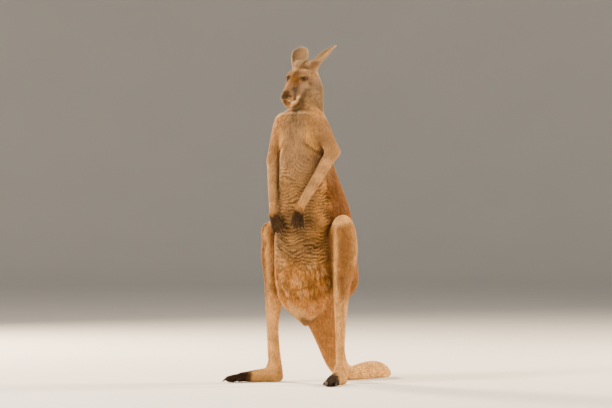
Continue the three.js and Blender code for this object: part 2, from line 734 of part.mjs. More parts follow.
function addLeg(name, leg) {
  const { forward, out } = legAxes(leg);
  const side = cross(up, forward);
  const form = (p) => melt(legForm(p, leg), footForm(p, leg), 12);
  const shaft = net(form, {
    origin: leg.ankle, axes: [side, scale(forward, -1), up],
    low: [-90, -90, -10], high: [90, 150, 690], cell: [18, 18, 46], slack: 2,
  });
  const shank = keepPast(keepPast(shaft.intersect(regions.leg[name]), cuts.knee[name]), cuts.ankle);
  piece(`shank_${name}`, shank, colours.cream);
  const sole = net(form, {
    origin: [leg.ankle[0], leg.ankle[1], 0], axes: [forward, side, up],
    low: [-80, -60, -18], high: [260, 60, 110], cell: [20, 12, 12],
  });
  const ends = toeEnds(leg);
  const claws = {};
  for (const { toe, length, radius, across = 0 } of toeClaws) {
    const { place, aim } = ends[toe];
    const root = add(add(place, aim, -clawRoot), out, across);
    claws[`toe_claw_${name}_${toe}`] = { place: root, aim, length: length + clawRoot, radius, droop: 0.1 };
  }
  withClaws(`foot_${name}`, onGround(keepBefore(sole, cuts.ankle)), colours.cream, claws);
}

function addArm(name, arm) {
  const form = (p) => armForm(p, name);
  const { along, outward, fingers } = handPlans[name];
  const lower = net(form, latticeAlong(arm.elbow, arm.wrist, outward, 62, [60, 40], [16, 16, 36]));
  const forearm = keepBefore(keepPast(lower.intersect(regions.arm[name]), cuts.elbow[name]), cuts.wrist[name]);
  piece(`forearm_${name}`, forearm, colours.cream);
  const grip = net(form, latticeAlong(arm.wrist, arm.tips, outward, 60, [24, 24], [9, 9, 12]));
  const claws = {};
  fingers.forEach(({ root, tip }, i) => {
    const aim = unit(add(unit(add(tip, root, -1)), outward, -0.1));
    const place = add(tip, aim, -1);
    const { length, radius } = fingerClaw;
    claws[`finger_claw_${name}_${i + 1}`] = { place, aim, length, radius, droop: 0.05 };
  });
  withClaws(`hand_${name}`, keepPast(grip.intersect(regions.arm[name]), cuts.wrist[name]), colours.dark, claws);
}

// The leaf of an ear: part of a cup, rolled nearly shut at its foot and open above.
function earLeaf(side) {
  const { root, axis, opening, across } = earFrame(side);
  const width = curveThrough(ear.shape, 1);
  const cup = curveThrough(ear.shape, 2);
  const rows = 7;
  const columns = 7;
  const corners = [];
  for (let i = 0; i <= rows; i += 1) {
    const t = ear.foot + ((1 - ear.foot) * i) / rows;
    const radius = cup(t);
    const half = Math.asin(clamp(width(t) / radius, 0, 1)) + 1.3 * smoothStep(0.22, 0, t);
    const thick = ear.thick * (1 - 0.45 * smoothStep(0.2, 1, t));
    for (const shell of [1, -1]) {
      for (let j = 0; j <= columns; j += 1) {
        const a = half * ((2 * j) / columns - 1);
        const r = radius + (shell * thick) / 2;
        const middle = add(root, axis, t * ear.length + (i === 0 ? gap : 0));
        corners.push(add(add(middle, opening, radius - r * Math.cos(a)), across, r * Math.sin(a)));
      }
    }
  }
  const ring = 2 * (columns + 1);
  const order = [...Array(columns + 1).keys(), ...Array.from({ length: columns + 1 }, (_, j) => ring - 1 - j)];
  const faces = [];
  for (let i = 0; i < rows; i += 1) {
    for (let k = 0; k < ring; k += 1) {
      const [a, b] = [order[k] + i * ring, order[(k + 1) % ring] + i * ring];
      faces.push(a, b, b + ring, a, b + ring, a + ring);
    }
  }
  for (let j = 0; j < columns; j += 1) {
    const [outer, inner] = [j, j + columns + 1];
    faces.push(outer, inner, inner + 1, outer, inner + 1, outer + 1);
    const top = rows * ring;
    faces.push(top + outer, top + inner + 1, top + inner, top + outer, top + outer + 1, top + inner + 1);
  }
  const solid = solidOf(corners.flat(), faces);
  return solid.volume() > 0 ? solid : solidOf(corners.flat(), faces.reverse());
}

function addHead() {
  const axes = [headAxes.side, scale(headAxes.forward, -1), headAxes.up];
  let solid = net(bodyForm, { origin: eyeLine, axes, low: [-96, -130, -125], high: [96, 145, 75], cell: [11.6, 12.2, 11.4], slack: 1.4 });
  solid = keepPast(solid, cuts.head);
  for (const [name, side] of [['left', 1], ['right', -1]]) {
    const ball = (radius) => {
      const sphere = new THREE.IcosahedronGeometry(radius, 2);
      sphere.translate(...fromHead(side * eye.centre[0], eye.centre[1], eye.centre[2]));
      return solidFrom(sphere);
    };
    solid = keepBefore(solid, earCut(side)).subtract(ball(eye.radius + gap));
    piece(`eye_${name}`, ball(eye.radius), colours.eye, 0.15);
    piece(`ear_${name}`, earLeaf(side), colours.greyBrown);
  }
  piece('head', solid, colours.greyBrown);
}

addBody();
addTail();
addHead();
for (const [name, leg] of Object.entries(legs)) addLeg(name, leg);
for (const [name, arm] of Object.entries(arms)) addArm(name, arm);

// ------------------------------------------------------------------ the scene graph

function meshOf({ name, solid, colour, roughness }) {
  const material = new THREE.MeshStandardMaterial({ color: colour, roughness, metalness: 0 });
  const mesh = new THREE.Mesh(geometryOf(solid), material);
  mesh.name = name;
  return mesh;
}

const kangaroo = new THREE.Group();
for (const part of pieces) kangaroo.add(meshOf(part));
kangaroo.position.set(...standPoint);

export default kangaroo;
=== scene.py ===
# Life-size red kangaroo, standing on its hind feet and tail.
# The flesh is one implicit form, worked out in millimetres as distances to its surface, and meshed as a skin.
# A short coat of solid tufts grows on the skin. Meshes are made in metres, in the frame's own axes:
# the animal faces -Y, its left side is +X and it stands on z = 0.

import math
import bpy
import numpy as np
from mathutils import Matrix


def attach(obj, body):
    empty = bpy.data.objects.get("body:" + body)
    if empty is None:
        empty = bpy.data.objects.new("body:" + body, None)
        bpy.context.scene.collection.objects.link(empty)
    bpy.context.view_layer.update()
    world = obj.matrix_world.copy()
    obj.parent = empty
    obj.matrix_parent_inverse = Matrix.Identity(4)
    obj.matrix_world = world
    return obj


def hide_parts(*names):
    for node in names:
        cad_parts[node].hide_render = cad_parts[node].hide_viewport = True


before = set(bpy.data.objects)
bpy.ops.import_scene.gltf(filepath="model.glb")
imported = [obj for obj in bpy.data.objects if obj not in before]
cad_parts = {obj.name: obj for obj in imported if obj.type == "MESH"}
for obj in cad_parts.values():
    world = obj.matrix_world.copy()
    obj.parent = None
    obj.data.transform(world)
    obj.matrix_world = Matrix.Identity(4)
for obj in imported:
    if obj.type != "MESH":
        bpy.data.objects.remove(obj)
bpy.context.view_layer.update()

draw = np.random.default_rng(41)
standPoint = np.array([7.5, -195, 0], np.float32)   # millimetres from the form's own frame to the model's


# small maths, on whole arrays

def vec(*values):
    return np.array(values, np.float32)


def unit(v):
    v = np.asarray(v, np.float32)
    return v / np.maximum(np.linalg.norm(v, axis=-1, keepdims=True), 1e-9)


def smoothStep(low, high, x):   # 0 below low, 1 above high, 3t^2 - 2t^3 between
    t = np.clip((x - low) / (high - low), 0, 1)
    return t * t * (3 - 2 * t)


def melt(a, b, k):   # the smaller of two distances, with the corner between them rounded over k
    h = np.maximum(k - np.abs(a - b), 0) / k
    return np.minimum(a, b) - h * h * k / 4


def carve(a, b, k):   # a with b taken out of it, and the edge rounded over k
    return -melt(-a, b, k)


def curveThrough(rows, column):   # cubics through the rows with matching slopes, read from a fine table
    x, y = (np.array([row[i] for row in rows], float) for i in (0, column))
    width = np.diff(x)
    slope = np.diff(y) / width
    inner = (slope[:-1] * width[1:] + slope[1:] * width[:-1]) / (width[1:] + width[:-1])
    tangent = np.concatenate([slope[:1], inner, slope[-1:]])
    at = np.linspace(x[0], x[-1], 500)
    i = np.clip(np.searchsorted(x, at, side="right") - 1, 0, len(width) - 1)
    t, w = (at - x[i]) / width[i], width[i]
    value = ((2 * t**3 - 3 * t**2 + 1) * y[i] + (t**3 - 2 * t**2 + t) * w * tangent[i]
             + (3 * t**2 - 2 * t**3) * y[i + 1] + (t**3 - t**2) * w * tangent[i + 1])
    return lambda q: np.interp(q, at, value).astype(np.float32)


def waves(p, size, seed, count=7):   # a soft random pattern from -1 to 1: a few sine waves in random directions
    pick = np.random.default_rng(seed)
    ways = unit(pick.normal(size=(count, 3))) * (2 * math.pi / size) * pick.uniform(0.7, 1.4, (count, 1))
    return np.sin(p @ ways.T.astype(np.float32) + pick.uniform(0, 6.28, count)).sum(1) / math.sqrt(count)


# distances to simple shapes

def muscle(p, a, b, ra, rb, swell=0, wide=None, flat=1):
    # a tapered capsule from a to b: swell fattens its middle, and flat widens it along wide
    a, b = np.asarray(a, np.float32), np.asarray(b, np.float32)
    ab = b - a
    h = np.clip((p - a) @ ab / (ab @ ab), 0, 1)
    q = p - a - h[:, None] * ab
    if wide is not None:
        q = q - (q @ wide)[:, None] * (wide * (1 - 1 / flat))
    return np.linalg.norm(q, axis=1) - (ra + (rb - ra) * h + swell * 4 * h * (1 - h))


def pad(p, centre, radii, axes=None):   # an ellipsoid, in the rows of axes when they are given
    q = p - vec(*centre)
    if axes is not None:
        q = q @ axes.T
    r = vec(*radii)
    inner, slope = np.linalg.norm(q / r, axis=1), np.linalg.norm(q / r**2, axis=1)
    return inner * (inner - 1) / np.maximum(slope, 1e-6)


def sectioned(rows):   # egg-shaped sections along a line: rows give the place, half width, low and high side
    width, low, high = (curveThrough(rows, i) for i in (1, 2, 3))

    def form(along, across, depth):
        s = np.clip(along, rows[0][0], rows[-1][0])
        w, d = np.maximum(width(s), 1), np.maximum((high(s) - low(s)) / 2, 1)
        x, y = across / w, (depth - (low(s) + high(s)) / 2) / d
        inner = np.hypot(x, y)
        flat = inner * (inner - 1) / np.maximum(np.hypot(x / w, y / d), 1e-6)
        return np.where(along == s, flat, np.hypot(np.maximum(flat, 0), along - s))
    return form


# the body's sizes, in millimetres

body = {
    "trunk": [   # height, half width, front, back
        (246, 4, -14, 2), (262, 19, -32, 22), (288, 46, -62, 52), (314, 78, -92, 94), (352, 112, -122, 152),
        (400, 130, -140, 202), (443, 137, -149, 230), (510, 143, -152, 252), (580, 146, -151, 262),
        (650, 146, -150, 264), (720, 145, -147, 258), (790, 135, -145, 238), (860, 121, -145, 204),
        (930, 110, -146, 163), (1000, 106, -148, 128), (1060, 110, -148, 101), (1110, 104, -138, 84),
        (1145, 87, -112, 80), (1180, 70, -88, 82), (1220, 62, -72, 90), (1262, 56, -60, 86),
        (1290, 40, -38, 66), (1306, 16, -6, 34)],
    "turn": math.radians(15), "turnFrom": 560, "turnTo": 1060,   # the chest is turned to its left
    "nape": [((0, 24, 1190), 58), ((0, 24, 1258), 56), ((-3, 9, 1320), 47)],
    "tail": [   # places and half thickness, from the rump to the tip on the ground
        (0, 60, 430, 108), (0, 108, 330, 90), (0, 151, 238, 71), (0, 177, 167, 57), (0, 209, 93, 45),
        (-1, 240, 57, 39), (-2, 276, 38, 34), (-3, 330, 29, 31), (-6, 380, 32, 34), (-9, 430, 35, 38),
        (-13, 500, 37, 39), (-18, 560, 31, 33), (-23, 605, 21, 22), (-27, 636, 12, 11)],
    "tailPieces": 28,
}
legs = {
    "left": {"side": 1, "hip": vec(78, 118, 500), "knee": vec(207, -14, 676), "ankle": vec(185, 0, 58),
             "toeOut": 22, "bulge": 11},
    "right": {"side": -1, "hip": vec(-78, 118, 500), "knee": vec(-197, 8, 652), "ankle": vec(-187, 0, 58),
              "toeOut": 26, "bulge": 24},
}
arms = {
    "left": {"side": 1, "shoulder": vec(80, -42, 1126), "elbow": vec(142, 3, 994),
             "wrist": vec(90, -162, 751), "tips": vec(76, -170, 640)},
    "right": {"side": -1, "shoulder": vec(-56, -76, 1116), "elbow": vec(-130, -58, 958),
              "wrist": vec(-38, -178, 729), "tips": vec(10, -184, 622)},
}
head = {   # in the head's frame: x to its left, u forward along the muzzle, v up, from between the eyes
    "pitch": math.radians(20), "turn": math.radians(4), "eyeLine": vec(-2, -62, 1307),
    "skull": [   # forward, half width, under, over
        (-112, 10, -46, -20), (-102, 32, -62, 9), (-80, 46, -74, 30), (-50, 52, -80, 41), (-20, 51, -78, 41),
        (4, 45, -75, 34), (28, 37, -73, 21), (55, 33, -72, 5), (80, 30, -71, -10), (100, 26, -69, -22),
        (111, 21, -64, -31), (118, 10, -54, -42)],
    "jaw": [
        (-66, 18, -82, -50), (-44, 38, -94, -44), (-5, 35, -97, -50), (35, 27, -96, -54), (70, 23, -99, -56),
        (92, 21, -102, -58), (106, 17, -99, -60), (115, 7, -90, -70)],
    "eye": (36, 1, 0), "eyeRadius": 14.5,
}
ear = {
    "root": (40, -92, 13), "length": 140, "axis": (0.37, 0.57, 0.735), "opening": (-0.32, -0.6, 0.7),
    "thick": 5.5, "foot": -0.1,
    "shape": [   # part of the length, half width, radius of the cup
        (-0.1, 22, 24), (0.05, 27, 28), (0.2, 33, 34), (0.42, 36.5, 40), (0.62, 36, 42), (0.8, 28.5, 39),
        (0.93, 16, 34), (1.0, 4, 30)],
}
up = vec(0, 0, 1)
soleHeight, coatFloor = 1.5, 0.5   # the lowest places of the skin and of the tufts


# the flesh, part by part, out to the tips of the coat

trunkColumn, skullForm, jawForm = sectioned(body["trunk"]), sectioned(head["skull"]), sectioned(head["jaw"])


def trunkPlace(p):   # places across the trunk and back through it, in its own frame, which turns with height
    a = body["turn"] * smoothStep(body["turnFrom"], body["turnTo"], p[:, 2])
    return np.cos(a) * p[:, 0] + np.sin(a) * p[:, 1], np.cos(a) * p[:, 1] - np.sin(a) * p[:, 0]


def trunkTurn(p):   # the angle round the trunk from its front
    x, y = trunkPlace(p)
    return np.arctan2(x, 40 - y)


def trunkForm(p):   # a column of sections that turns with height, with the neck's own muscles on it
    d = trunkColumn(p[:, 2], *trunkPlace(p))
    for (low, lowRadius), (high, highRadius) in zip(body["nape"], body["nape"][1:]):
        d = melt(d, muscle(p, low, high, lowRadius, highRadius), 20)
    return d


def tailLine():   # evenly spaced places and radii on a smooth curve through the tail's rows
    rows = np.array(body["tail"], float)
    run = np.concatenate([[0], np.cumsum(np.linalg.norm(np.diff(rows[:, :3], axis=0), axis=1))])
    rows = np.column_stack([run, rows])
    at = np.linspace(0, run[-1], body["tailPieces"])
    return np.stack([curveThrough(rows, i)(at) for i in (1, 2, 3, 4)], 1)


tailPath = tailLine()


def tailForm(p):
    d = np.full(len(p), 1e4, np.float32)
    for a, b in zip(tailPath, tailPath[1:]):
        d = melt(d, muscle(p, a[:3], b[:3], a[3], b[3]), 10)
    return d


def headAxes():
    (c, s), (ct, st) = ((math.cos(head[angle]), math.sin(head[angle])) for angle in ("pitch", "turn"))
    return np.stack([vec(ct, st, 0), vec(st * c, -ct * c, -s), vec(st * s, -ct * s, c)])


headFrame = headAxes()


def toHead(p):
    return (p - head["eyeLine"]) @ headFrame.T


def fromHead(x, u, v):
    return head["eyeLine"] + vec(x, u, v) @ headFrame


def bothSides(q):   # places in the head's frame, with its right side laid on its left
    return np.stack([np.abs(q[:, 0]), q[:, 1], q[:, 2]], 1)


def earFrame(side):   # root, and the directions along the ear, out of its opening and across it
    axis, opening = unit(vec(*ear["axis"]) * vec(side, 1, 1)), vec(*ear["opening"]) * vec(side, 1, 1)
    opening = unit(opening - axis * (opening @ axis))
    x, u, v = ear["root"]
    return fromHead(side * x, u, v), axis, opening, np.cross(opening, axis)


earWidth, earCup = curveThrough(ear["shape"], 1), curveThrough(ear["shape"], 2)


def earPlace(p, side):   # part of the length, the same kept on the leaf, across, outward, and the cup's radius
    root, axis, opening, across = earFrame(side)
    q = p - root
    a = q @ axis / ear["length"]
    t = np.clip(a, ear["foot"], 1)
    return a, t, q @ across, q @ opening, earCup(t)


def earLeaf(p, side):   # a leaf cut from a cup: rolled nearly shut at its foot, open above, thin at its rim
    a, t, b, c, radius = earPlace(p, side)
    rho, theta = np.hypot(b, c - radius), np.abs(np.arctan2(b, radius - c))
    half = np.arcsin(np.clip(earWidth(t) / radius, 0, 1)) + 0.9 * smoothStep(0.2, 0, t)
    d = np.abs(rho - radius) - ear["thick"] * (1 - 0.45 * smoothStep(0.2, 1, t)) / 2
    d = carve(d, -(theta - half) * np.minimum(rho, radius), 4)
    return carve(d, -np.maximum(a - 1, ear["foot"] - a) * ear["length"], 4)


def earForm(p, side):   # the leaf grows out of a stub, which is hollowed into a funnel above its foot
    root, axis, opening = earFrame(side)[:3]
    stub = muscle(p, root - 24 * axis + 12 * opening, root + 4 * axis + 19 * opening, 26, 25)
    funnel = muscle(p, root + 26 * axis + 36 * opening, root + 74 * axis + 50 * opening, 8, 31)
    return melt(carve(stub, funnel, 8), earLeaf(p, side), 14)


def headForm(p):
    q = toHead(p)
    x, u, v = q.T
    m = np.stack([np.hypot(x, 2), u, v], 1)   # both sides are alike
    d = skullForm(u, x, v)
    d = melt(d, jawForm(u, x, v), 18)
    d = melt(d, pad(m, (33, -42, -56), (23, 40, 38)), 20)                    # cheek muscle
    d = melt(d, muscle(m, vec(30, 20, 12), vec(38, -18, 15), 9, 13), 20)      # brow
    d = melt(d, muscle(m, vec(27, 26, -20), vec(38, -36, -26), 10, 15), 26)   # cheekbone
    d = melt(d, pad(m, (13, 90, -58), (16, 28, 20)), 14)                     # lips
    return melt(d, pad(m, (0, 108, -34), (15, 11, 10)), 9)                   # nose


def legAxes(leg):
    a, side = math.radians(leg["toeOut"]), leg["side"]
    return vec(side * math.sin(a), -math.cos(a), 0), vec(side * math.cos(a), math.sin(a), 0)


def legForm(p, leg):
    forward, out = legAxes(leg)
    hip, knee, ankle, side = leg["hip"], leg["knee"], leg["ankle"], leg["side"]
    calfFoot = ankle - 10 * forward - 4 * out + 215 * up
    bicepsFoot = vec(ankle[0], ankle[1], 440) - 14 * forward + (leg["bulge"] - 3) * out
    d = muscle(p, hip + 10 * up, knee - 8 * forward - 14 * up, 100, 44, 8, out, 0.8)   # thigh
    d = melt(d, muscle(p, hip + vec(side * 14, 36, -60), knee - 54 * forward - 150 * up,
                       72, 40, 8, out, 0.8), 36)
    d = melt(d, muscle(p, hip + vec(side * 10, -30, 70), knee - 8 * forward + 4 * up, 70, 41, 4, out, 0.9), 36)
    d = melt(d, muscle(p, knee - 22 * forward + leg["bulge"] * out - 30 * up, bicepsFoot, 41, 17, 24), 26)
    d = melt(d, muscle(p, knee - 34 * forward - 60 * up, calfFoot, 44, 17, 14, out, 0.88), 24)   # calf
    d = melt(d, muscle(p, knee - 8 * up, ankle - out + 10 * up, 40, 18, 0, out, 0.95), 22)       # shin
    d = melt(d, muscle(p, calfFoot, ankle - 33 * forward - 12 * up, 15, 19, -3, out, 0.8), 14)   # heel tendon
    return melt(d, pad(p, ankle, (26, 27, 30)), 14)


def footForm(p, leg):
    forward, out = legAxes(leg)
    ground = leg["ankle"] * vec(1, 1, 0)
    at = lambda f, o, z: ground + f * forward + o * out + z * up
    d = muscle(p, at(-30, 0, 24), at(0, 0, 30), 23, 27)                            # heel
    d = melt(d, muscle(p, at(0, 0, 36), at(140, 2, 23), 30, 21, 0, out, 1.15), 14)   # instep
    d = melt(d, muscle(p, at(-28, 0, 15), at(140, 2, 14), 18, 17, 0, out, 1.35), 10)   # sole
    d = melt(d, muscle(p, at(140, 3, 19), at(207, 2, 16), 20, 14, 2, out, 1.08), 10)   # fourth toe
    d = melt(d, muscle(p, at(130, 19, 15), at(178, 30, 12), 14, 10, 1), 7)           # fifth toe
    return melt(d, muscle(p, at(122, -19, 15), at(170, -22, 11), 12, 8), 6)          # second and third, joined


def handPlan(arm):   # directions, palm and the five fingers' roots and tips
    reach = arm["tips"] - arm["wrist"]
    along, outward = unit(reach), unit(vec(arm["wrist"][0] * 0.4, arm["wrist"][1] - 40, 0))
    across = unit(np.cross(outward, along))
    palm = arm["wrist"] + 0.42 * reach
    fingers = []
    for f in (-1, -0.5, 0, 0.5, 1):
        root = palm + along * (4 - 4 * abs(f)) + across * 21 * f
        fingers.append((root, root + along * (32 - 7 * abs(f)) + across * 8 * f - outward * 4))
    return along, outward, across, palm, fingers


def armForm(p, arm):
    d = muscle(p, arm["shoulder"], arm["elbow"], 46, 30, 3)
    return melt(d, muscle(p, arm["elbow"], arm["wrist"], 30, 16.5, 2), 16)


def handForm(p, arm):
    across, palm, fingers = handPlan(arm)[2:]
    d = muscle(p, arm["wrist"], palm, 16, 20, 1, across, 1.4)
    for root, tip in fingers:
        d = melt(d, muscle(p, root, tip, 8.8, 6.8), 5)
    return d


partNames = ("trunk", "tail", "legLeft", "legRight", "footLeft", "footRight", "armLeft", "armRight", "handLeft",
             "handRight", "head", "earLeft", "earRight")


def partForms(p):   # one column of distances for each part
    columns = [trunkForm(p), tailForm(p)]
    for form, plans in ((legForm, legs), (footForm, legs), (armForm, arms), (handForm, arms)):
        columns += [form(p, plan) for plan in plans.values()]
    return np.stack(columns + [headForm(p), earForm(p, 1), earForm(p, -1)], 1)


def wholeForm(p, parts=None):   # the parts run into each other: widely at a limb's root, and hardly further out
    c = dict(zip(partNames, (partForms(p) if parts is None else parts).T))
    d = melt(c["trunk"], c["tail"], 16 + 44 * smoothStep(0, 120, p[:, 1]))
    for name in ("left", "right"):
        key = name.capitalize()
        fromHip = np.linalg.norm(p - legs[name]["hip"], axis=1)
        fromShoulder = np.linalg.norm(p - arms[name]["shoulder"], axis=1)
        d = melt(d, c["leg" + key], 6 + 44 * smoothStep(250, 120, fromHip))
        d = melt(d, c["foot" + key], 12)
        d = melt(d, melt(c["arm" + key], c["hand" + key], 12), 4 + 36 * smoothStep(150, 60, fromShoulder))
    d = melt(d, c["head"], 30)
    return melt(melt(d, c["earLeft"], 20), c["earRight"], 20)


# the coat's depth and the folds of the skin

coat = {   # depth, length, spacing and width of the tufts on each part, in millimetres
    "trunk": (6, 19, 3.9, 2.6), "tail": (5, 17, 4.0, 2.6), "leg": (4.6, 15, 3.7, 2.4), "foot": (2, 6, 2.7, 1.6),
    "arm": (4, 13, 3.2, 2.1), "hand": (2.2, 9, 2.4, 1.6), "head": (2.6, 7.5, 2.0, 1.4),
    "ear": (0.9, 5, 2.3, 1.3),
}
coatTable = np.array([coat[name.replace("Left", "").replace("Right", "")] for name in partNames], np.float32)
ripples = {   # wrinkles of the loose skin on the belly, which fan upwards from a middle line
    "spacing": 15.5, "depth": 5, "low": 470, "high": 1010, "middle": 34, "flat": 20,
    "fanFrom": 800, "fanTo": 540, "fan": 0.5,
}
folds = [   # deeper folds between the thighs: height at the middle line, rise to each side, depth
    {"height": 560, "rise": 0.62, "depth": 6}, {"height": 534, "rise": 0.75, "depth": 5.5},
    {"height": 592, "rise": 0.5, "depth": 4.5}, {"height": 512, "rise": 0.9, "depth": 4},
]


def partWeights(parts):   # how much each point belongs to each part: e^-(distance beyond the nearest / 10 mm)
    w = np.exp(-(parts - parts.min(1, keepdims=True)) / 10)
    return w / w.sum(1, keepdims=True)


def share(weights, *names):   # how much each point belongs to the named parts together
    return sum(weights[:, partNames.index(name)] for name in names)


def wrinkles(p, weights):   # grooves, 0 to 1, between rounded ripples, and how strong the ripples are there
    z, turn = p[:, 2], trunkTurn(p)
    off = np.abs(trunkPlace(p)[0] - ripples["middle"]) - ripples["flat"]
    fan = ripples["fan"] * smoothStep(ripples["fanFrom"], ripples["fanTo"], z) * np.maximum(off, 0)
    wander = z - fan + 9 * waves(p, 160, 5) + 4.4 * waves(p * vec(1, 1, 0.5), 45, 6) + 1.8 * waves(p, 20, 8)
    groove = 0.5 + 0.5 * np.cos(2 * math.pi * wander / ripples["spacing"])
    low, high = ripples["low"], ripples["high"]
    strength = smoothStep(low, low + 50, wander) * smoothStep(high, high - 160, z) * share(weights, "trunk")
    strength = strength * smoothStep(1.5, 0.95, np.abs(turn)) * np.clip(0.85 + 0.35 * waves(p, 80, 7), 0.3, 1.2)
    return groove, strength


breast = {   # heights and depths: lower edge of the breast muscles, midline, notch and loose collar
    "edge": 1027, "edgeFall": 0.95, "edgeDepth": 9, "midline": 2, "notch": 4, "collar": 1161, "collarDepth": 4,
}


def collarFold(x, z):   # 1 on a loose fold round the foot of the neck, which dips to each side as a parabola
    return np.exp(-((z - breast["collar"] + 0.0018 * (x - 10) ** 2) / 5) ** 2)


def breastRelief(p, weights):   # dents under the breast muscles, on the midline, over the notch, by the collar
    x, y = trunkPlace(p)
    z, front = p[:, 2], smoothStep(20, -50, y) * smoothStep(0, 0.5, share(weights, "trunk"))
    across = np.abs(x)
    edge = np.exp(-((z - breast["edge"] + breast["edgeFall"] * (across - 46)) / 11) ** 2)
    edge = edge * smoothStep(34, 56, across)
    middle = np.exp(-(x / 13) ** 2) * smoothStep(940, 1000, z) * smoothStep(1130, 1090, z)
    notch = np.exp(-(x / 22) ** 2 - ((z - 1128) / 14) ** 2)
    collar = collarFold(x, z - 11) + collarFold(x, z + 11)
    return front * (breast["edgeDepth"] * edge + breast["midline"] * middle + breast["notch"] * notch
                    + breast["collarDepth"] * collar)


def creases(p, weights):   # 1 in the lines where the arms, and then the thighs, press against the trunk
    arm = 4 * share(weights, "trunk") * share(weights, "armLeft", "armRight") * smoothStep(1090, 1020, p[:, 2])
    ahead = smoothStep(60, 10, p[:, 1])
    leg = 4 * share(weights, "trunk") * share(weights, "legLeft", "legRight") * ahead
    leg = leg * smoothStep(300, 380, p[:, 2])
    return np.clip(arm, 0, 1), np.clip(leg, 0, 1)


def foldPattern(p, weights):   # the deeper folds: 1 along each line, falling off over 7 mm to its sides
    x, y = trunkPlace(p)
    off = np.abs(x - ripples["middle"])
    front = smoothStep(10, -60, y) * share(weights, "trunk") * smoothStep(150, 90, off)
    wave = 5 * waves(p, 90, 11) + 2 * waves(p, 30, 13)
    return [fold["depth"] * front * np.exp(-((p[:, 2] - fold["height"] - fold["rise"] * off - wave) / 7) ** 2)
            for fold in folds]


def valleys(p, weights):   # 1 in the thin winding valleys between the lumps low on the belly
    low = smoothStep(550, 490, p[:, 2]) * smoothStep(330, 370, p[:, 2])
    low = low * smoothStep(60, -10, p[:, 1]) * share(weights, "trunk")
    return low * np.exp(-(waves(p, 52, 12) / 0.35) ** 2)


def relief(p, parts):   # how far ripples, folds and lumps dent the form inwards, in millimetres
    weights = partWeights(parts)
    groove, strength = wrinkles(p, weights)
    arm, leg = creases(p, weights)
    dents = ripples["depth"] * groove ** 1.4 * strength + sum(foldPattern(p, weights)) + 4 * valleys(p, weights)
    return dents + breastRelief(p, weights) + 3 * arm + 2 * leg


# the face

face = {
    "lid": 1.9, "gaze": (0.93, 0.3, 0.1), "along": (-0.33, 0.85, 0.4), "opening": (14.5, 5.4, 6.5),
    "nostril": [(8, 117, -40), (13, 113, -43), (20, 106, -45)], "nostrilRadius": 2.2,
    "mouth": [(0, 121, -70), (9, 115, -70), (17, 103, -70), (23, 86, -70), (28, 72, -64)], "mouthDepth": 1.8,
}


def eyeDirections():   # in the head's frame: along the opening of the lids, across it, and out of the eye
    out = unit(vec(*face["gaze"]))
    along = vec(*face["along"])
    along = unit(along - out * (along @ out))
    return np.stack([along, np.cross(out, along), out])


eyeAxes = eyeDirections()


def lidReach(m):   # how far from the middle of the eye's opening, 1 at its edge
    away = m - vec(*head["eye"]) - eyeAxes[2] * head["eyeRadius"]
    return np.linalg.norm((away @ eyeAxes.T) / vec(*face["opening"]), axis=1)


def lineDistance(m, line, radius=0):   # to a bent line through places in the head's frame
    d = np.full(len(m), 1e4, np.float32)
    for a, b in zip(line, line[1:]):
        d = np.minimum(d, muscle(m, vec(*a), vec(*b), radius, radius))
    return d


def faceDetail(d, p):   # lids over the eyeballs, nostrils, the slit of the mouth and the lip's cleft
    q = toHead(p)
    near = np.linalg.norm(q - vec(0, 20, -20), axis=1) < 190
    if not near.any():
        return d
    d, q = d.copy(), q[near]
    m, f = bothSides(q), d[near]
    centre = vec(*head["eye"])
    f = melt(f, np.linalg.norm(m - centre, axis=1) - head["eyeRadius"] - face["lid"], 6)
    f = carve(f, pad(m, centre + eyeAxes[2] * head["eyeRadius"], face["opening"], eyeAxes), 1.2)
    f = carve(f, lineDistance(m, face["nostril"], face["nostrilRadius"]), 1.5)
    f = carve(f, lineDistance(m, face["mouth"], face["mouthDepth"]), 2.5)
    f = carve(f, muscle(m, vec(0, 122, -50), vec(0, 121, -70), 1, 1.4), 2.5)
    d[near] = f
    return d


def skinForm(p, parts=None, earPad=0):   # the flesh without its coat, with the folds and the face
    parts = partForms(p) if parts is None else parts
    d = wholeForm(p, parts) + partWeights(parts) @ coatTable[:, 0] + relief(p, parts) - earPad * earness(parts)
    return np.maximum(faceDetail(d, p), soleHeight - p[:, 2])


def earness(parts):   # 1 where an ear is the nearest part
    first = partNames.index("earLeft")
    return smoothStep(6, 0, parts[:, first:].min(1) - parts[:, :first].min(1))


# the net

net = {   # lattice spacing over the body, and where it draws together
    "cell": 6.6, "low": (-330, -250, -12), "high": (330, 660, 1480), "headFrom": 1120, "headAll": 1215,
    "headScale": 0.42, "headMiddle": (0, -140),
    "lenses": [((30, -160, 640), 200, 0.5), ((245, -130, 20), 150, 0.6), ((-250, -130, 20), 150, 0.6)],
    "eyeLens": (30, 0.55), "near": 0.95, "nearMore": 14, "batch": 300000, "earPad": 2.2,
}


def drawTogether(q):   # lattice to real places: narrower at the head, pulled in at hands, feet and eyes
    p = q.copy()
    squeeze = 1 - (1 - net["headScale"]) * smoothStep(net["headFrom"], net["headAll"], q[:, 2])
    for axis, middle in enumerate(net["headMiddle"]):
        p[:, axis] = middle + (q[:, axis] - middle) * squeeze
    x, u, v = head["eye"]
    eyes = [(fromHead(side * x * 1.3, u, v), *net["eyeLens"]) for side in (1, -1)]
    for centre, reach, pull in net["lenses"] + eyes:
        away = p - np.asarray(centre, np.float32)
        p -= away * (pull * np.exp(-(away**2).sum(1) / reach**2))[:, None]
    return p


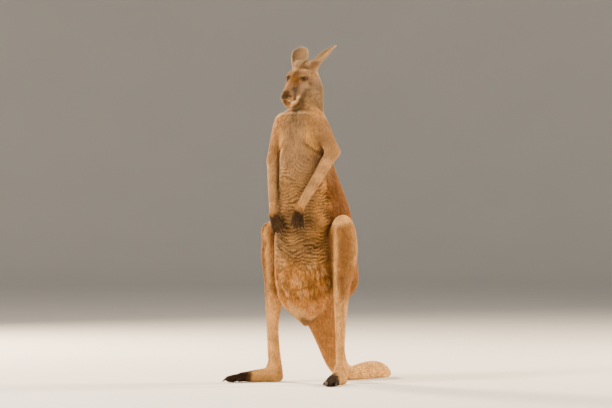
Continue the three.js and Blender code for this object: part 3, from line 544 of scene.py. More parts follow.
def latticeAxes():
    cell, low, high = net["cell"], net["low"], net["high"]
    x, y = (np.arange(low[i], high[i] + cell, cell) for i in (0, 1))
    z = [low[2]]
    while z[-1] < high[2]:
        squeeze = (1 - net["headScale"]) * float(smoothStep(net["headFrom"], net["headAll"], z[-1]))
        z.append(z[-1] + cell * (1 - squeeze))
    return [x, y, np.array(z)]


def surfaceNet(form, axes, warp, coarse=5):
    # each lattice cell that the surface crosses gets a corner, in the mean of its crossings, and each
    # lattice edge that it crosses gets a face; a coarse look first finds the cells worth working out
    count = np.array([len(a) for a in axes])
    place = lambda i: warp(np.stack([axes[k][i[:, k]] for k in range(3)], 1).astype(np.float32))
    rough = [np.arange(0, n + coarse - 1, coarse).clip(0, n - 1) for n in count]
    grid = np.stack(np.meshgrid(*rough, indexing="ij"), -1)
    spots = place(grid.reshape(-1, 3)).reshape(grid.shape)
    far = form(spots.reshape(-1, 3)).reshape(grid.shape[:3])
    steps = (np.diff(spots, axis=k, append=spots.take([-1], k) * 2 - spots.take([-2], k)) for k in range(3))
    reach = sum(np.linalg.norm(step, axis=-1) ** 2 for step in steps) ** 0.5
    wanted = np.abs(far) < reach * net["near"] + net["nearMore"]
    for k in range(3):
        far, wanted = np.repeat(far, coarse, axis=k), np.repeat(wanted, coarse, axis=k)
    cut = tuple(slice(coarse // 2, coarse // 2 + n) for n in count)
    pads = lambda a: np.pad(a, [(0, n - s) for n, s in zip(count, a.shape)], mode="edge")
    value, wanted = pads(far[cut]).astype(np.float32), pads(wanted[cut])
    at = np.stack(np.nonzero(wanted), 1)
    batches = np.array_split(at, len(at) // net["batch"] + 1)
    value[wanted] = np.concatenate([form(place(batch)) for batch in batches])
    inside = value < 0
    total = sum(inside[a:count[0] - 1 + a, b:count[1] - 1 + b, c:count[2] - 1 + c].astype(np.int8)
                for a in (0, 1) for b in (0, 1) for c in (0, 1))
    mixed = (total > 0) & (total < 8)
    index = np.full(mixed.shape, -1, np.int64)
    cells = np.stack(np.nonzero(mixed), 1)
    index[mixed] = np.arange(len(cells))
    corner, hits = np.zeros((len(cells), 3)), np.zeros(len(cells))
    for axis in range(3):
        for step in range(4):
            start = cells.copy()
            start[:, (axis + 1) % 3] += step & 1
            start[:, (axis + 2) % 3] += step >> 1
            end = start.copy()
            end[:, axis] += 1
            a, b = value[tuple(start.T)], value[tuple(end.T)]
            crossed = (a < 0) != (b < 0)
            spot = start.astype(float)
            spot[:, axis] += np.where(crossed, a / np.where(crossed, a - b, 1), 0)
            corner += spot * crossed[:, None]
            hits += crossed
    corner /= hits[:, None]
    spot = np.stack([np.interp(corner[:, k], np.arange(count[k]), axes[k]) for k in range(3)], 1)
    corners = warp(spot.astype(np.float32))
    faces = []
    for axis in range(3):
        b, c = (axis + 1) % 3, (axis + 2) % 3
        here, there = (inside[tuple(slice(s, count[k] - 1 + s) if k == axis else slice(None) for k in range(3))]
                       for s in (0, 1))
        edge = np.stack(np.nonzero(here != there), 1)
        for k in (b, c):
            edge = edge[(edge[:, k] > 0) & (edge[:, k] < count[k] - 1)]
        around = []
        for stepB, stepC in ((1, 1), (0, 1), (0, 0), (1, 0)):
            cell = edge.copy()
            cell[:, b] -= stepB
            cell[:, c] -= stepC
            around.append(index[tuple(cell.T)])
        quad = np.stack(around, 1)
        outward = here[tuple(edge.T)]
        quad[~outward] = quad[~outward][:, ::-1]
        faces.append(quad)
    return corners, np.concatenate(faces)


def slope(form, p, step=0.6):   # the direction in which the distance grows, by differences
    axes = np.eye(3, dtype=np.float32)
    return unit(np.stack([form(p + step * axis) - form(p - step * axis) for axis in axes], 1))


def settle(form, p, times=2, most=3.0):   # move points along the slope until they lie on the surface
    for _ in range(times):
        d = form(p)
        p = p - slope(form, p) * np.clip(d, -most, most)[:, None]
    return p


# places and meshes

def toModel(p):
    return (p + standPoint) / 1000


def linear(code):   # an sRGB hex colour as linear red, green and blue
    c = np.array([int(code[i:i + 2], 16) for i in (0, 2, 4)]) / 255
    return np.where(c <= 0.04045, c / 12.92, ((c + 0.055) / 1.055) ** 2.4)


def addPiece(name, corners, faces, colours=None, uv=None, values=None):
    # a smooth-shaded mesh from corners in metres and a list of face arrays, with its colours and its map
    mesh = bpy.data.meshes.new(name)
    loops = np.concatenate([f.ravel() for f in faces]).astype(np.int32)
    starts = np.concatenate([np.full(len(f), f.shape[1]) for f in faces])
    starts = np.concatenate([[0], np.cumsum(starts)[:-1]]).astype(np.int32)
    mesh.vertices.add(len(corners))
    mesh.vertices.foreach_set("co", corners.astype(np.float32).ravel())
    mesh.loops.add(len(loops))
    mesh.loops.foreach_set("vertex_index", loops)
    mesh.polygons.add(len(starts))
    mesh.polygons.foreach_set("loop_start", starts)
    mesh.update(calc_edges=True)
    mesh.validate()
    mesh.polygons.foreach_set("use_smooth", np.ones(len(mesh.polygons), bool))
    if colours is not None:
        layer = mesh.attributes.new("coatColour", "FLOAT_COLOR", "POINT")
        values4 = np.column_stack([colours, np.ones(len(colours))])
        layer.data.foreach_set("color", values4.astype(np.float32).ravel())
    for key, value in (values or {}).items():
        layer = mesh.attributes.new(key, "FLOAT", "POINT")
        layer.data.foreach_set("value", value.astype(np.float32))
    if uv is not None:
        mesh.uv_layers.new(name="OFBake").data.foreach_set("uv", uv.astype(np.float32).ravel())
    piece = bpy.data.objects.new(name, mesh)
    bpy.context.collection.objects.link(piece)
    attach(piece, "root")
    return piece


def ringFaces(rows, sides):   # quads between rings of corners, and fans to the two corners that come after them
    i, j = np.meshgrid(np.arange(rows - 1), np.arange(sides), indexing="ij")
    k = (j + 1) % sides
    here, above = i * sides, (i + 1) * sides
    quads = np.stack([here + j, above + j, above + k, here + k], -1).reshape(-1, 4)
    j, k, last = j[0], k[0], (rows - 1) * sides
    top, bottom = np.full(sides, rows * sides), np.full(sides, rows * sides + 1)
    return quads, np.concatenate([np.stack([top, j, k], 1), np.stack([bottom, last + k, last + j], 1)])


# the markings, with painted light and shade, the same for skin and coat

fur = {name: linear(code) for name, code in {
    "neck": "877052", "chest": "a98259", "belly": "a67c47", "bellySide": "c8914a", "lowBelly": "c98a3e",
    "patch": "a8692a", "palePatch": "d9a468", "rufous": "804c06", "back": "7c5216", "gold": "e2ab5c",
    "groin": "d9a868", "tailTop": "b9803f", "tailEnd": "dba85f", "thigh": "a47137", "thighShade": "6b4018",
    "kneeEdge": "f2bc72", "shin": "f0b86e", "foot": "d7a35a", "toes": "281404", "upperArm": "a97b4c",
    "armpit": "cf944a", "forearm": "d3a268", "hand": "2e1902", "crown": "926b40", "bridge": "835611",
    "deepOrange": "875108", "muzzle": "a5784e", "cheek": "7c6351", "cheekLight": "957a60",
    "crownLight": "bd945e", "throat": "b08a55", "pale": "eecb98", "chin": "cf9656", "whisker": "241405",
    "greyShade": "684b30", "noseBrown": "553514", "eyeShade": "5a3814", "leather": "38270f", "ear": "846448",
    "earInside": "bd9a6c", "earRim": "cfab7a", "earTuft": "a4682c", "earShade": "6a4a2c",
}.items()}


def plain(name, p):   # one named colour at every place
    return np.broadcast_to(fur[name], (len(p), 3))


def tint(base, where, name):   # move towards a named colour, where is 0 to 1
    return base + (fur[name] - base) * np.clip(where, 0, 1)[:, None]


def trunkColour(p):   # grey-brown in front, golden beside breast and belly, rufous on flanks and back, with painted light and shade on breast, collar and throat
    x = trunkPlace(p)[0]
    z, round_ = p[:, 2] + 14 * waves(p, 120, 21), np.abs(trunkTurn(p)) + 0.08 * waves(p, 90, 22)
    soft = waves(p, 60, 28)
    c = tint(plain("back", p), smoothStep(1060, 800, z), "rufous")
    c = tint(c, smoothStep(1.22, 0.92, round_) * smoothStep(420, 520, z), "bellySide")
    c = tint(c, smoothStep(0.95, 0.5, round_) * smoothStep(420, 520, z), "belly")
    c = tint(c, smoothStep(1.6, 1.1, round_) * smoothStep(850, 960, z), "chest")
    c = tint(c, smoothStep(560, 440, z) * smoothStep(1.9, 1.2, round_), "lowBelly")
    low = smoothStep(600, 500, z) * smoothStep(1.6, 1.1, round_)
    c = tint(c, 0.35 * smoothStep(0.1, 0.7, soft) * low, "patch")
    c = tint(c, 0.6 * smoothStep(-0.2, -0.8, soft) * low, "palePatch")
    c = tint(c, smoothStep(1050, 1200, z + 60 * smoothStep(0.7, 1.4, round_)), "neck")
    # golden fur beside the breast, lit further as a painted highlight on the breast muscles
    beside = np.exp(-((np.abs(x) - 66 - 0.12 * (1060 - p[:, 2])) / 17) ** 2)
    beside = beside * smoothStep(960, 1010, z) * smoothStep(1110, 1060, z)
    c = tint(c, 0.95 * beside * smoothStep(1.5, 1.1, round_), "gold")
    # a paler throat, lightened also as painted light where the jaw casts its shadow
    c = tint(c, 0.35 * smoothStep(1.0, 0.4, round_) * smoothStep(1150, 1190, z), "throat")
    front = smoothStep(1.5, 1.0, round_)
    # painted shade in the groove just above the loose collar fold, and a painted highlight along the fold's
    # crest
    c = c * (1 - 0.1 * collarFold(x, p[:, 2] - 13) * front)[:, None]
    c = tint(c, 0.75 * collarFold(x, p[:, 2]) * front, "pale")
    streak = waves(p * vec(1, 1, 0.1), 15, 33) * smoothStep(930, 1010, z) * smoothStep(1160, 1100, z)
    c = c * (1 + 0.09 * streak)[:, None]
    groin = smoothStep(60, 22, np.hypot(x - 10, (z - 300) * 1.2)) * smoothStep(1.5, 0.8, round_)
    c = tint(c, groin, "groin")
    return tint(c, 0.8 * smoothStep(26, 8, np.hypot(x - 15, p[:, 2] - 266)), "thighShade")


def tailColour(p):
    run = p[:, 1] - 0.35 * p[:, 2] + 20 * waves(p, 80, 23)
    c = tint(plain("rufous", p), smoothStep(-130, -30, run), "tailTop")
    rings = np.sin(run * 0.42 + 2 * waves(p, 70, 34))
    c = c * (1 + 0.07 * rings * smoothStep(160, 60, run))[:, None]
    return tint(c, smoothStep(90, 230, run), "tailEnd")


def shinPlace(p, leg):   # places ahead of and beside the line from ankle to knee, and the part of it below them
    forward, out = legAxes(leg)
    t = np.clip((p[:, 2] - leg["ankle"][2]) / 600, 0, 1)
    q = p - (leg["ankle"] + (leg["knee"] - leg["ankle"]) * t[:, None])
    return q @ forward, q @ out, t


def legColour(p, leg):
    f, o = shinPlace(p, leg)[:2]
    o, f = o + 4 * waves(p, 60, 35), f + 4 * waves(p, 60, 36)
    z, ahead = p[:, 2] + 12 * waves(p, 110, 24), smoothStep(-4, 20, f)
    c = tint(plain("thigh", p), smoothStep(-60, -160, f) * smoothStep(300, 420, z) * 0.8, "rufous")
    c = tint(c, smoothStep(40, 62, o) * smoothStep(-70, -20, f) * 0.5, "kneeEdge")
    c = tint(c, np.exp(-((o + 20) / 11) ** 2) * ahead * 0.8, "kneeEdge")            # pale line down the front
    c = tint(c, np.exp(-((o - 12) / 24) ** 2) * ahead * smoothStep(700, 650, z) * 0.3, "thighShade")
    c = tint(c, smoothStep(-27, -44, o) * smoothStep(330, 400, z) * smoothStep(680, 620, z) * 0.8, "thighShade")
    c = tint(c, smoothStep(670, 705, z) * smoothStep(-40, 6, f) * 0.85, "kneeEdge")    # kneecap
    c = tint(c, smoothStep(400, 300, z), "shin")
    shin = ahead * smoothStep(420, 330, z) * smoothStep(80, 160, z)
    return tint(c, np.exp(-((o - 12) / 10) ** 2) * shin * 0.3, "thighShade")


def footColour(p, leg):
    forward, out = legAxes(leg)
    q = p - leg["ankle"] * vec(1, 1, 0)
    f, o = q @ forward, q @ out
    c = tint(plain("foot", p), smoothStep(30, -20, f), "shin")
    ridge = smoothStep(15, 5, np.abs(o)) * smoothStep(18, 30, p[:, 2])
    c = tint(c, smoothStep(50, 95, f) * ridge * 0.85, "toes")
    return tint(c, smoothStep(96, 132, f + 8 * waves(p, 40, 25)), "toes")


def armColour(p, arm):
    down = unit(arm["wrist"] - arm["shoulder"])
    t = (p - arm["shoulder"]) @ down + 8 * waves(p, 80, 26)
    elbow = float((arm["elbow"] - arm["shoulder"]) @ down)
    inward = (arm["elbow"] - p) @ vec(arm["side"], 0, 0)
    c = tint(plain("upperArm", p), smoothStep(0, 40, inward) * 0.8, "armpit")
    c = tint(c, smoothStep(elbow - 50, elbow + 60, t), "forearm")
    reach = float((arm["wrist"] - arm["shoulder"]) @ down)
    return tint(c, smoothStep(reach - 40, reach + 22, t), "hand")


headMarks = [   # colour, the line it lies along in the head's frame, its reach to each side, its strength
    ("cheek", [(40, 50, -40), (50, 0, -50), (50, -50, -50)], 42, 0.85),
    ("cheekLight", [(42, 24, -38), (50, 2, -44), (52, -30, -60)], 24, 0.9),
    ("bridge", [(0, 20, 26), (6, 46, 8)], 27, 0.75),
    ("deepOrange", [(29, 20, 21), (32, 36, 6), (33, 48, -8)], 14, 0.95),   # in front of the eye
    ("muzzle", [(0, 66, 0), (6, 92, -15)], 22, 0.85),
    ("crownLight", [(0, -16, 38), (34, -26, 30)], 15, 0.7),
    ("earTuft", [(18, -62, 42), (28, -72, 36)], 14, 0.9), ("earTuft", [(52, -66, 26), (56, -72, 18)], 13, 0.8),
    ("pale", [(55, -86, 8), (54, -96, -8)], 18, 0.85),   # behind the ear's root
    ("greyShade", [(32, 60, -24), (36, 46, -40)], 16, 0.75),
    ("whisker", [(29, 66, -30), (30, 74, -52), (28, 78, -68)], 18, 1),   # dark band on the muzzle
    ("pale", [(22, 64, -90), (27, 53, -73), (33, 38, -60)], 7, 0.9),   # stripe behind the mouth
    ("whisker", [(33, 44, -83), (35, 38, -86)], 13, 0.8),
    # painted shade along the jaw's lower edge, in a warm brown
    ("deepOrange", [(17, 84, -98), (30, 62, -101), (38, 44, -102)], 11, 0.8),
    # pale fur on the upper lip and chin, lit further as a painted rim of backlight on their front
    ("pale", [(17, 112, -63), (22, 92, -77), (24, 70, -82)], 7, 0.85),   # upper lip
    ("chin", [(0, 112, -92), (17, 100, -90), (20, 80, -92)], 12, 0.8),
    ("noseBrown", [(0, 119, -58), (3, 118, -80)], 9, 0.7),   # cleft of the lips
    ("noseBrown", [(0, 104, -24), (10, 110, -34)], 17, 0.95),
    ("whisker", [(10, 114, -43), (26, 102, -47)], 9, 1),
    ("whisker", [(58, -12, -29), (58, -15, -31)], 12, 0.9),   # spot below the eye
    ("pale", [(24, 26, 30), (30, 2, 33)], 7, 0.5),   # brow
]


def headColour(p):
    q = toHead(p)
    m = bothSides(q) + 2.2 * np.stack([waves(q, 24, 61 + i) for i in range(3)], 1)   # ragged edges
    # a paler throat under the jaw, lightened also as painted light where the jaw casts its shadow
    c = tint(plain("crown", p), smoothStep(-76, -94, m[:, 2]) * smoothStep(90, 60, m[:, 1]), "throat")
    for name, line, reach, strength in headMarks:
        c = tint(c, strength * smoothStep(reach * 1.15, reach * 0.45, lineDistance(m, line)), name)
    lid = lidReach(m)
    c = tint(c, 0.9 * smoothStep(3.1, 1.7, lid), "eyeShade")
    corner = np.linalg.norm(q - vec(-25, 32, 11), axis=1)   # from the right eye's front corner
    c = tint(c, smoothStep(19, 10, corner), "whisker")
    return tint(c, smoothStep(1.8, 1.3, lid), "whisker")


def earColour(p, side):
    a, t, b, out, radius = earPlace(p, side)
    inside = smoothStep(0.4, -0.4, np.hypot(b, out - radius) - radius)
    rim = smoothStep(0.8, 0.97, np.abs(b) / np.maximum(earWidth(t), 1)) + smoothStep(0.93, 0.99, a)
    c = tint(plain("ear", p), smoothStep(0.2, 0, a) * 0.5, "crown")
    c = tint(c, 0.6 * smoothStep(6, 24, b * side), "earShade")
    c = tint(c, inside * (0.4 + 0.45 * smoothStep(0.6, 0.15, a)), "earInside")
    c = tint(c, inside * 0.25 * smoothStep(0.4, 0.2, a), "pale")
    return tint(c, rim * 0.55 * smoothStep(0.1, 0.3, a), "earRim")


def markings(p, weights):   # the parts' own colours, mixed where they meet, with soft mottling at two sizes and painted light and shade
    columns = [trunkColour(p), tailColour(p)]
    columns += [colour(p, leg) for colour in (legColour, footColour) for leg in legs.values()]
    columns += [armColour(p, arm) for arm in arms.values()]
    for arm in arms.values():
        low = (p - arm["wrist"]) @ unit(arm["tips"] - arm["wrist"]) + 5 * waves(p, 30, 29)
        columns.append(tint(plain("armpit", p), smoothStep(0, 26, low), "hand"))
    columns += [headColour(p), earColour(p, 1), earColour(p, -1)]
    soft = weights ** 0.5   # spread the change of colour wider than the change of shape
    soft = soft / soft.sum(1, keepdims=True)
    c = sum(soft[:, i:i + 1] * column for i, column in enumerate(columns))
    groove, strength = wrinkles(p, weights)
    folded = sum(foldPattern(p, weights)) / 6
    arm, leg = creases(p, weights)
    shade = 1 + 0.1 * waves(p, 60, 31) + 0.08 * waves(p, 17, 32)
    # painted shade in the ripples' grooves and along the deeper folds, and painted light on the ripples' crests
    shade = shade * (1 + strength * (0.45 - groove)) * (1 - 0.45 * np.clip(folded, 0, 1))
    # painted shade in the valleys between the belly's lumps and in the creases where arms and thighs press on
    # the trunk
    shade = shade * (1 - 0.45 * valleys(p, weights)) * (1 - 0.35 * arm) * (1 - 0.45 * leg)
    # painted shade in the dents under the breast muscles, on the midline, over the notch and by the collar
    shade = shade * (1 - 0.07 * np.clip(breastRelief(p, weights) - 2, 0, 8))
    return c * np.maximum(shade, 0.12)[:, None]


def bareness(p):   # 1 on the nose leather, the lips, the lids' edges and the soles, where no tuft grows
    m = bothSides(toHead(p))
    x, u, v = m.T
    nose = smoothStep(107, 112, u) * smoothStep(-54, -50, v) * smoothStep(16, 12, x)
    lid = smoothStep(1.35, 1.2, lidReach(m))
    slits = smoothStep(3.4, 2.6, np.minimum(lineDistance(m, face["mouth"]), lineDistance(m, face["nostril"])))
    return np.maximum.reduce([nose, lid, slits, smoothStep(4, 2, p[:, 2])])


# the lie of the coat

tuft = {   # how tufts lie and vary; places are parts of a tuft's length, levels are parts of the coat's depth
    "swirl": 0.22, "scatter": 0.16, "drift": 0.3, "shortest": 0.75, "longest": 1.2, "rippleCut": 0.62,
    "crowd": 0.28, "middle": 0.52, "middleLean": 0.2, "tipLean": 0.6, "fineLevel": 0.5, "middleLevel": 0.42,
    "tipLevel": -0.12, "clumpLevel": 0.1, "looseLevel": 0.22, "looseFrom": 0.93, "sink": 0.8, "tone": 0.09,
}


def coatFlow(p, weights):   # the direction of the hair: down the body, out along the limbs, back from the nose
    turn, ones = trunkTurn(p), np.ones((len(p), 1), np.float32)
    trunk = np.stack([0.25 * np.sin(turn), 0.25 - 0.1 * np.cos(turn), -ones[:, 0]], 1)
    trunk = trunk + 0.5 * smoothStep(430, 300, p[:, 2])[:, None] * vec(0, 1, 0)
    nearest = np.argmin(((p[:, None] - tailPath[None, :-1, :3]) ** 2).sum(2), 1)
    tail = unit(tailPath[nearest + 1, :3] - tailPath[nearest, :3])
    columns = [trunk, tail]
    forwards = [legAxes(leg)[0] for leg in legs.values()]
    columns += [-up - 0.45 * smoothStep(150, 420, p[:, 2])[:, None] * forward for forward in forwards]
    columns += [ones * (forward - 0.25 * up) for forward in forwards]
    for arm in arms.values():
        upper, lower = unit(arm["elbow"] - arm["shoulder"]), unit(arm["wrist"] - arm["elbow"])
        low = smoothStep(40, -40, p[:, 2] - arm["elbow"][2])[:, None]
        columns.append(upper * (1 - low) + lower * low)
    columns += [ones * unit(arm["tips"] - arm["wrist"]) for arm in arms.values()]
    q = toHead(p)
    aside, down = 0.35 * np.sign(q[:, 0]) * smoothStep(80, 0, q[:, 1]), -0.25 * smoothStep(0, -40, q[:, 2])
    back = np.stack([aside, -ones[:, 0], down], 1)
    columns.append(back @ headFrame)
    for side in (1, -1):
        root, axis, _, across = earFrame(side)
        columns.append(ones * axis + 0.25 * ((p - root) @ across)[:, None] / 40 * across)
    flow = sum(weights[:, i:i + 1] * unit(column) for i, column in enumerate(columns))
    return flow + tuft["swirl"] * np.stack([waves(p, 70, 41 + i) for i in range(3)], 1)


# an unwrap of the skin's own shape: the angle round each part's centre line, and the way along it

def fullTurn(angle):   # an angle as part of a full turn, half a turn at zero
    return angle / (2 * math.pi) + 0.5


def unwrap(p, part):
    name = partNames[part]
    if name == "trunk":
        return fullTurn(trunkTurn(p)), (p[:, 2] - 230) / 1090
    if name == "tail":
        nearest = np.argmin(((p[:, None] - tailPath[None, :, :3]) ** 2).sum(2), 1)
        q = p - tailPath[nearest, :3]
        return fullTurn(np.arctan2(q[:, 0], q[:, 2] + 0.3 * q[:, 1])), (p[:, 1] - p[:, 2] + 450) / 1100
    if name.startswith(("leg", "foot")):
        leg = legs[name.replace("leg", "").replace("foot", "").lower()]
        if name.startswith("foot"):
            forward, out = legAxes(leg)
            q = p - leg["ankle"]
            return fullTurn(np.arctan2(q @ out, p[:, 2] - 18)), (q @ forward + 70) / 320
        f, o, t = shinPlace(p, leg)
        return fullTurn(np.arctan2(o, f + 30 + 60 * t)), (p[:, 2] - leg["ankle"][2] + 20) / 740
    if name.startswith(("arm", "hand")):
        arm = arms[name.replace("arm", "").replace("hand", "").lower()]
        start, end = (arm[k] for k in (("shoulder", "wrist") if name.startswith("arm") else ("wrist", "tips")))
        along = unit(end - start)
        side = unit(np.cross(along, vec(0, 1, 0)))
        r, far, reach = p - start, (p - start) @ along, (end - start) @ along
        if name.startswith("arm"):
            r = r - (arm["elbow"] - start) * np.clip(1 - np.abs(far / reach - 0.4) * 2, 0, 1)[:, None]
        return fullTurn(np.arctan2(r @ side, r @ np.cross(along, side))), (far + 60) / (reach + 120)
    if name == "head":
        q = toHead(p)
        return fullTurn(np.arctan2(q[:, 0], q[:, 2] + 34)), (q[:, 1] + 130) / 260
    a, t, b, c, radius = earPlace(p, 1 if name == "earLeft" else -1)
    inner = np.hypot(b, c - radius) < radius
    return np.where(inner, 0.25, 0.75) + np.arctan2(b, radius - c) / (2 * math.pi) * 0.48, (a + 0.1) / 1.15


# materials

def link(tree, node, links):   # other nodes' outputs to this node's inputs
    for key, source in links.items():
        tree.links.new(source, node.inputs[key])


def addNode(tree, kind, inputs=None, links=None, **settings):   # a node with its settings, values and links
    node = tree.nodes.new("ShaderNode" + kind)
    for key, value in settings.items():
        setattr(node, key, value)
    for key, value in (inputs or {}).items():
        node.inputs[key].default_value = value
    link(tree, node, links or {})
    return node


def newMaterial(name, sockets):   # even values on the shader's own sockets; patterns on Object coordinates
    material = bpy.data.materials.new(name)
    material.use_nodes = True
    tree = material.node_tree
    shader = tree.nodes["Principled BSDF"]
    for key, value in sockets.items():
        shader.inputs[key].default_value = value
    return material, tree, shader, addNode(tree, "TexCoord").outputs["Object"]


def rgba(code):
    return (*linear(code), 1)


hairFinish = {   # hair is hollow keratin: it scatters softly, and shows a little sheen at its edges
    "roughness": 0.6, "sheen": 0.06, "sheenTint": "f0c890", "specular": 0.18, "strand": 0.45, "clump": 14,
    "bump": 0.25, "bumpDepth": 0.0004, "darkest": 0.84, "lightest": 1.16,
}


def shortHair():
    # natural keratin hair, flat and dense: each strand 0.45 mm apart is too fine to show, so clumps 14 mm wide
    # carry the unevenness of tone, and the strands only break up the gloss
    look = hairFinish
    material, tree, shader, place = newMaterial("flat-lying keratin hair", {
        "Roughness": look["roughness"], "Sheen Weight": look["sheen"], "Sheen Roughness": 0.5,
        "Sheen Tint": rgba(look["sheenTint"]), "Specular IOR Level": look["specular"], "IOR": 1.55})
    colour = addNode(tree, "Attribute", attribute_name="coatColour").outputs["Color"]
    clumps = addNode(tree, "TexNoise", {"Scale": 1000 / look["clump"], "Detail": 4, "Roughness": 0.6},
                     {"Vector": place})
    strands = addNode(tree, "TexNoise", {"Scale": 1000 / (look["strand"] * 3), "Detail": 2}, {"Vector": place})
    tone = addNode(tree, "MapRange", {"To Min": look["darkest"], "To Max": look["lightest"]},
                   {"Value": clumps.outputs["Fac"]})
    shade = addNode(tree, "VectorMath", None, {0: colour, "Scale": tone.outputs["Result"]}, operation="SCALE")
    bump = addNode(tree, "Bump", {"Strength": look["bump"], "Distance": look["bumpDepth"]},
                   {"Height": strands.outputs["Fac"]})
    link(tree, shader, {"Base Color": shade.outputs["Vector"], "Normal": bump.outputs["Normal"]})
    return material


def hideUnderHair():
    # the skin under the coat, with the shortest hair on it: fine streaks a millimetre apart; where it is bare,
    # on the nose, the lips and the lids, it is dark moist leather with small pebbles
    material, tree, shader, place = newMaterial("hide under short hair", {
        "Sheen Weight": 0.05, "Sheen Roughness": 0.5, "Specular IOR Level": 0.08})
    colour = addNode(tree, "Attribute", attribute_name="coatColour").outputs["Color"]
    bare = addNode(tree, "Attribute", attribute_name="bare").outputs["Fac"]
    streaks = addNode(tree, "TexNoise", {"Scale": 700, "Detail": 3, "Roughness": 0.7}, {"Vector": place})
    pebbles = addNode(tree, "TexVoronoi", {"Scale": 620}, {"Vector": place})
    tone = addNode(tree, "MapRange", {"To Min": 0.6, "To Max": 1.0}, {"Value": streaks.outputs["Fac"]})
    shade = addNode(tree, "VectorMath", None, {0: colour, "Scale": tone.outputs["Result"]}, operation="SCALE")
    grip = addNode(tree, "MapRange", {"To Min": 0.72, "To Max": 0.75}, {"Value": bare})
    height = addNode(tree, "Mix", None, {
        "Factor": bare, "A": streaks.outputs["Fac"], "B": pebbles.outputs["Distance"]})
    bump = addNode(tree, "Bump", {"Strength": 0.5, "Distance": 0.0006}, {"Height": height.outputs["Result"]})
    link(tree, shader, {"Base Color": shade.outputs["Vector"], "Roughness": grip.outputs["Result"],
                        "Normal": bump.outputs["Normal"]})
    return material


def glassEye():
    # polished dark glass over a brown iris: nearly black, with a clear wet gloss
    material, tree, shader, place = newMaterial("polished dark glass eye", {
        "Roughness": 0.25, "Specular IOR Level": 0.08, "Coat Weight": 0.05, "Coat Roughness": 0.05,
        "IOR": 1.45})
    ring = addNode(tree, "Attribute", attribute_name="iris").outputs["Fac"]
    threads = addNode(tree, "TexNoise", {"Scale": 900, "Detail": 3}, {"Vector": place})
    ramp = addNode(tree, "ValToRGB", None, {"Fac": ring})
    ramp.color_ramp.elements[0].color = rgba("0c0703")
    ramp.color_ramp.elements[1].color = rgba("0b0705")
    for spot, code in ((0.42, "0c0703"), (0.5, "40240e"), (0.72, "4a2a10"), (0.85, "0b0705")):
        ramp.color_ramp.elements.new(spot).color = rgba(code)
    tone = addNode(tree, "MapRange", {"To Min": 0.6, "To Max": 1.4}, {"Value": threads.outputs["Fac"]})
    shade = addNode(tree, "VectorMath", None, {0: ramp.outputs["Color"], "Scale": tone.outputs["Result"]},
                    operation="SCALE")
    link(tree, shader, {"Base Color": shade.outputs["Vector"]})
    return material


def blackHorn():
    # horn grown in lengthwise layers, worn smooth at the tip: faint streaks and a dull gloss
    material, tree, shader, place = newMaterial("grown black horn", {"Specular IOR Level": 0.2, "IOR": 1.54})
    along = addNode(tree, "Mapping", {"Scale": (1, 0.2, 1)}, {"Vector": place})
    layers = addNode(tree, "TexNoise", {"Scale": 900, "Detail": 3}, {"Vector": along.outputs["Vector"]})
    ramp = addNode(tree, "ValToRGB", None, {"Fac": layers.outputs["Fac"]})
    ramp.color_ramp.elements[0].color = rgba("0d0a08")
    ramp.color_ramp.elements[1].color = rgba("332a22")
    rough = addNode(tree, "MapRange", {"To Min": 0.5, "To Max": 0.7}, {"Value": layers.outputs["Fac"]})
    bump = addNode(tree, "Bump", {"Strength": 0.3, "Distance": 0.0004}, {"Height": layers.outputs["Fac"]})
    link(tree, shader, {"Base Color": ramp.outputs["Color"], "Roughness": rough.outputs["Result"],
                        "Normal": bump.outputs["Normal"]})
    return material


def paintedFloor():
    # matt painted board: pale, with a faint unevenness of the paint
    material, tree, shader, place = newMaterial("matt painted board", {
        "Roughness": 0.85, "Specular IOR Level": 0.2})
    cloud = addNode(tree, "TexNoise", {"Scale": 1.2, "Detail": 3}, {"Vector": place})
    ramp = addNode(tree, "ValToRGB", None, {"Fac": cloud.outputs["Fac"]})
    ramp.color_ramp.elements[0].color = rgba("d6d4cf")
    ramp.color_ramp.elements[1].color = rgba("dddbd7")
    link(tree, shader, {"Base Color": ramp.outputs["Color"]})
    return material


hairMaterial, hideMaterial, eyeMaterial, hornMaterial = shortHair(), hideUnderHair(), glassEye(), blackHorn()
print("materials made")


# skin

flesh = ["head", "neck", "chest", "belly", "tail_root", "tail_middle", "tail_tip"]
flesh += [f"{part}_{side}" for part in ("ear", "upper_arm", "forearm", "hand", "thigh", "shank", "foot")
          for side in ("left", "right")]


def growSkin():
    corners, faces = surfaceNet(lambda p: skinForm(p, earPad=net["earPad"]), latticeAxes(), drawTogether)
    corners = settle(skinForm, corners, 3)
    return corners.astype(np.float32), faces


skinCorners, skinFaces = growSkin()
skinParts = partForms(skinCorners)
skinWeights = partWeights(skinParts)
bare = bareness(skinCorners)
skinColour = tint(markings(skinCorners, skinWeights) * 0.8, bare * (toHead(skinCorners)[:, 1] > -30), "leather")
skin = addPiece("skin", toModel(skinCorners), [skinFaces], skinColour, values={"bare": bare})
skin.data.materials.append(hideMaterial)
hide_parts(*flesh)
print("skin:", 2 * len(skinFaces), "triangles")


# eyes

eyeball = {"rings": 40, "sides": 56, "cornea": 9.5, "bulge": 1.1, "iris": 8.2}


